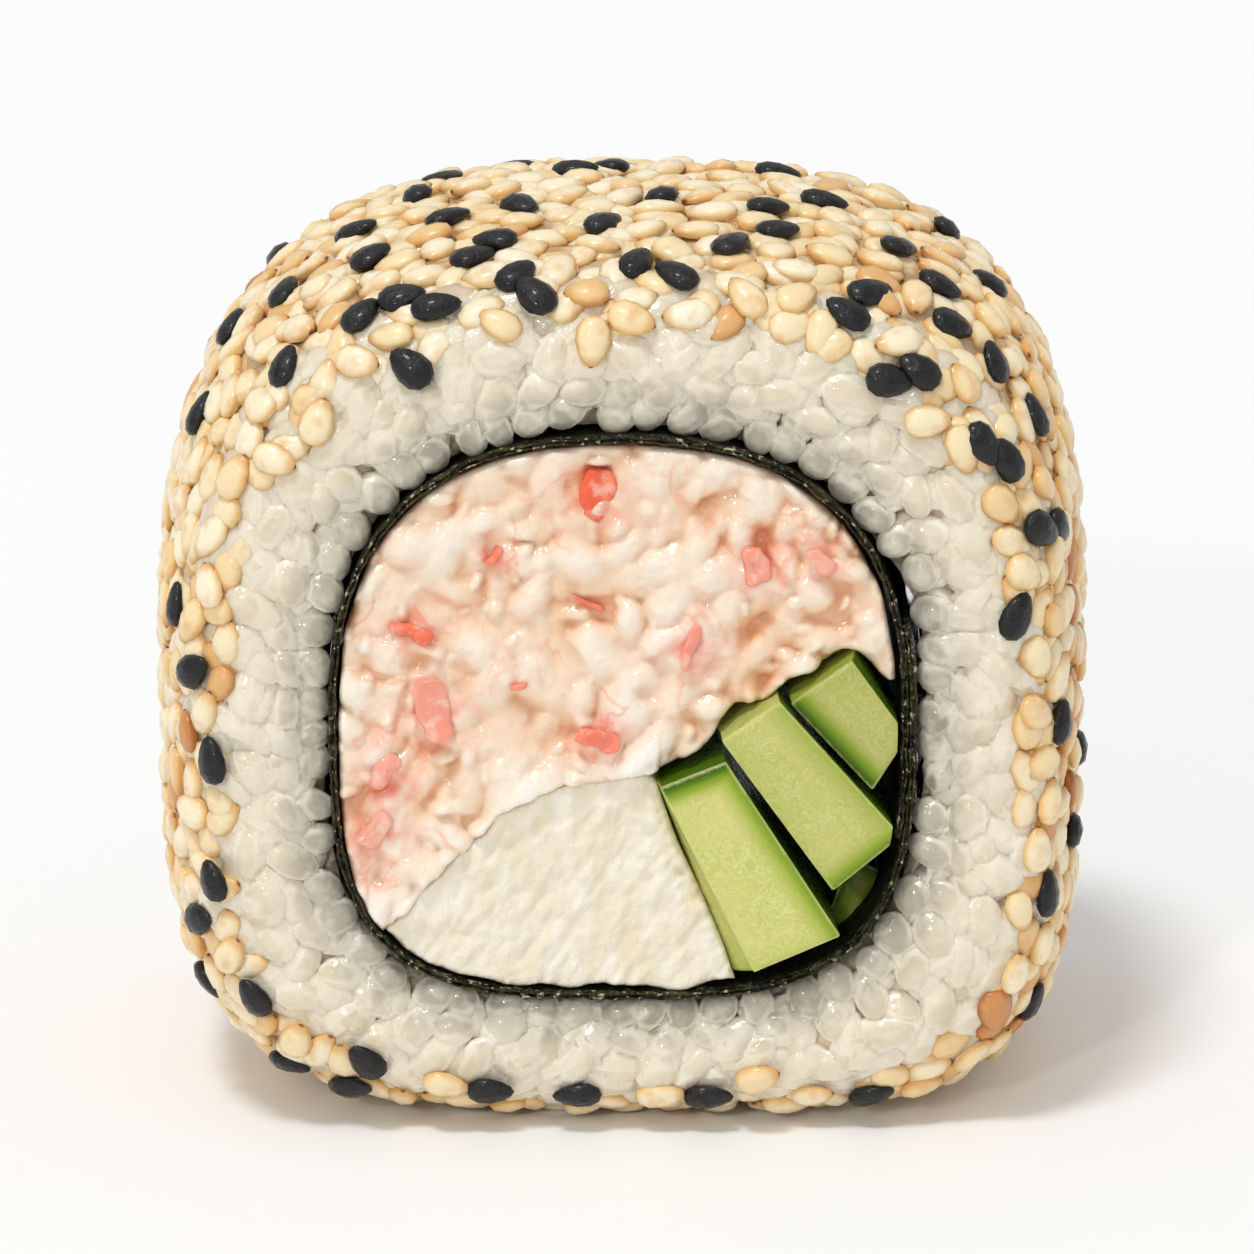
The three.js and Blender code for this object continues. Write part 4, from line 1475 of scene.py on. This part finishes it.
def red_flakes():
    sides, rings = 20, 11
    draw = np.random.default_rng(RED_DRAWS)
    unit_block = flake_rows(sides, rings).reshape(-1, 3)
    flakes = [(*flake, 0) for flake in RED_FLAKES]
    for _ in range(BACK_FLAKES):
        x = draw.uniform(-10, 10)
        flakes.append((x, draw.uniform(28, 35), draw.uniform(1, 2.6), draw.uniform(0.5, 1.5),
                       draw.uniform(0, 180), draw.uniform(0, 0.6), 1))
    points, faces, pale = [], [], []
    for number, (x, z, length, width, spin, paleness, end) in enumerate(flakes):
        high = crab_height(np.array([[x, z]]), end)[0]
        turn = Matrix.Rotation(math.radians(spin), 3, "Z") @ Matrix.Rotation(draw.uniform(-0.2, 0.2), 3, "X")
        block = unit_block * (length, width, FLAKE_THICK)
        block[:, 2] += FLAKE_CURL * (block[:, 0] / length * 2) ** 2 * length / 2
        block += FLAKE_LUMPS * np.column_stack([roughness(block + x, 0.9, seed) for seed in (2.0, 6.0, 9.0)])
        block = block @ np.array(turn).T
        y = HALF_DEPTH - CRAB_RISE + high + FLAKE_SUNK + block[:, 2]
        points.append(np.column_stack([x + block[:, 0], y if end else -y, z + block[:, 1]]))
        first = number * sides * rings
        last = first + (rings - 1) * sides
        for row in range(first, last, sides):
            faces += band(row, row + sides, sides)
        faces += [range(first, first + sides), range(last, last + sides)]
        pale += [paleness] * len(block)
    mesh = mesh_of("red_crab_flakes", np.concatenate(points), faces)
    store(mesh, "pale", pale)
    facing_out(mesh)
    finished("red_crab_flakes", mesh, red_crab(), "crab_salad")


def crab_blush(flat):
    blush = np.zeros(len(flat))
    for x, z, radius in BLUSHES:
        near = np.exp(-((flat[:, 0] - x) ** 2 + (flat[:, 1] - z) ** 2) / radius ** 2)
        blush = np.maximum(blush, near)
    return blush * np.clip(0.55 + 0.9 * roughness(wide_points(flat), 1.1, 21.0, 2), 0, 1)


def crab():
    name = "crab_salad_filling"
    slab = Slab(name, crab_outline(), HALF_DEPTH, CRAB_GRID, crab_relief, crab_flare, crab_drift)
    mesh = slab.mesh()
    heights = np.concatenate([crab_height(slab.flat, end) for end in (0, 1)])
    heights = np.clip(heights / CRAB_RISE * 0.9 + 0.1, 0, 1)
    store(mesh, "height", slab.values(heights, 0.4))
    blush = crab_blush(slab.flat)
    store(mesh, "blush", slab.values(np.concatenate([blush, blush * 0.8]), 0.0))
    finished(name, mesh, creamy_crab(), "crab_salad", "crab_salad")


# Nori

NORI_HALF = 0.19
# The sheet winds closer than it does in the solid, because nothing there lies between its turns
CLOSE_WIND = 0.42
# The rounded end of its section: sides from 1 to -1 with their depths from its end
NORI_RIM = [(1.05, 0.22), (0.85, 0.04), (0.5, 0), (0.2, 0.08), (0.0, 0.2), (-0.2, 0.08), (-0.5, 0),
            (-0.85, 0.04), (-1.05, 0.22)]


def nori():
    steps = 640
    turns = np.linspace(0, 1 + LAP_TURN / TURN, steps)
    angles = LAP_START + turns * TURN
    end = HALF_DEPTH - FILLING_INSET
    rim = [(side, end - depth) for side, depth in NORI_RIM]
    wall = np.linspace(end - 0.8, 0.8 - end, 14)
    section = rim + [(-1.0, y) for y in wall]
    section += [(side, -y) for side, y in reversed(rim)] + [(1.0, y) for y in reversed(wall)]
    rows = []
    wound = sheet_radius(turns) + (CLOSE_WIND - NORI_WIND) * (turns - 0.5)
    for side, y in section:
        middle = on_ray(angles, wound, np.full(steps, y))
        crinkle = 0.07 * roughness(middle, 0.9, 4.0, 2)
        thick = NORI_HALF * (1 + 0.35 * roughness(middle, 0.6, 9.0))
        wave = 0.14 * roughness(middle * (1, 0, 1), 1.1, 14.0)
        rows.append(on_ray(angles, wound + crinkle + side * thick, y + wave * (abs(y) > end - 0.5)))
    count = len(section)
    starts = [(k * steps, (k + 1) % count * steps) for k in range(count)]
    faces = [(near + i, near + i + 1, far + i + 1, far + i) for near, far in starts for i in range(steps - 1)]
    faces.append([near for near, _ in starts])
    faces.append([near + steps - 1 for near, _ in reversed(starts)])
    mesh = mesh_of("nori_sheet", np.array(rows).reshape(-1, 3), faces)
    store(mesh, "cut_edge", np.repeat([float(abs(y) > end - 0.3) for _, y in section], steps))
    facing_out(mesh)
    finished("nori_sheet", mesh, crinkled_nori(), "nori", "nori")


# Room and light

def floor():
    """A wide pale floor, whose half width is in metres."""
    half = 3.0
    corners = [(-half, -half, 0), (half, -half, 0), (half, half, 0), (-half, half, 0)]
    mesh = mesh_of("floor", corners, [(0, 1, 2, 3)])
    look = Finish("pale_floor", 0.6)
    tint = look.blend(look.noise(0.02, 2), (0.965, 0.965, 0.965, 1), (0.975, 0.975, 0.972, 1))
    mesh.materials.append(look.finish(tint))
    object_of("floor", mesh)


def sun(name, towards, spread, power):
    """A light from far away in that direction, as wide as spread in degrees."""
    data = bpy.data.lights.new(name, "SUN")
    data.angle = math.radians(spread)
    data.energy = power
    thing = object_of(name, data)
    thing.rotation_euler = (-Vector(towards)).to_track_quat("-Z", "Y").to_euler()


def room():
    world = bpy.data.worlds.new("room")
    bpy.context.scene.world = world
    world.use_nodes = True
    sky = world.node_tree.nodes["Background"]
    sky.inputs["Color"].default_value = (1, 1, 1, 1)
    sky.inputs["Strength"].default_value = 0.6
    sun("key", (-0.2, -0.3, 0.93), 12, 1.3)
    sun("front", (-0.35, -0.85, 0.45), 4, 0.4)
    bpy.context.scene.view_settings.view_transform = "Standard"


rice()
sesame()
nori()
crab()
red_flakes()
cheese()
cucumber_look = wet_cucumber()
for index, stick in enumerate(STICKS):
    cucumber(index + 1, stick, cucumber_look)
floor()
room()
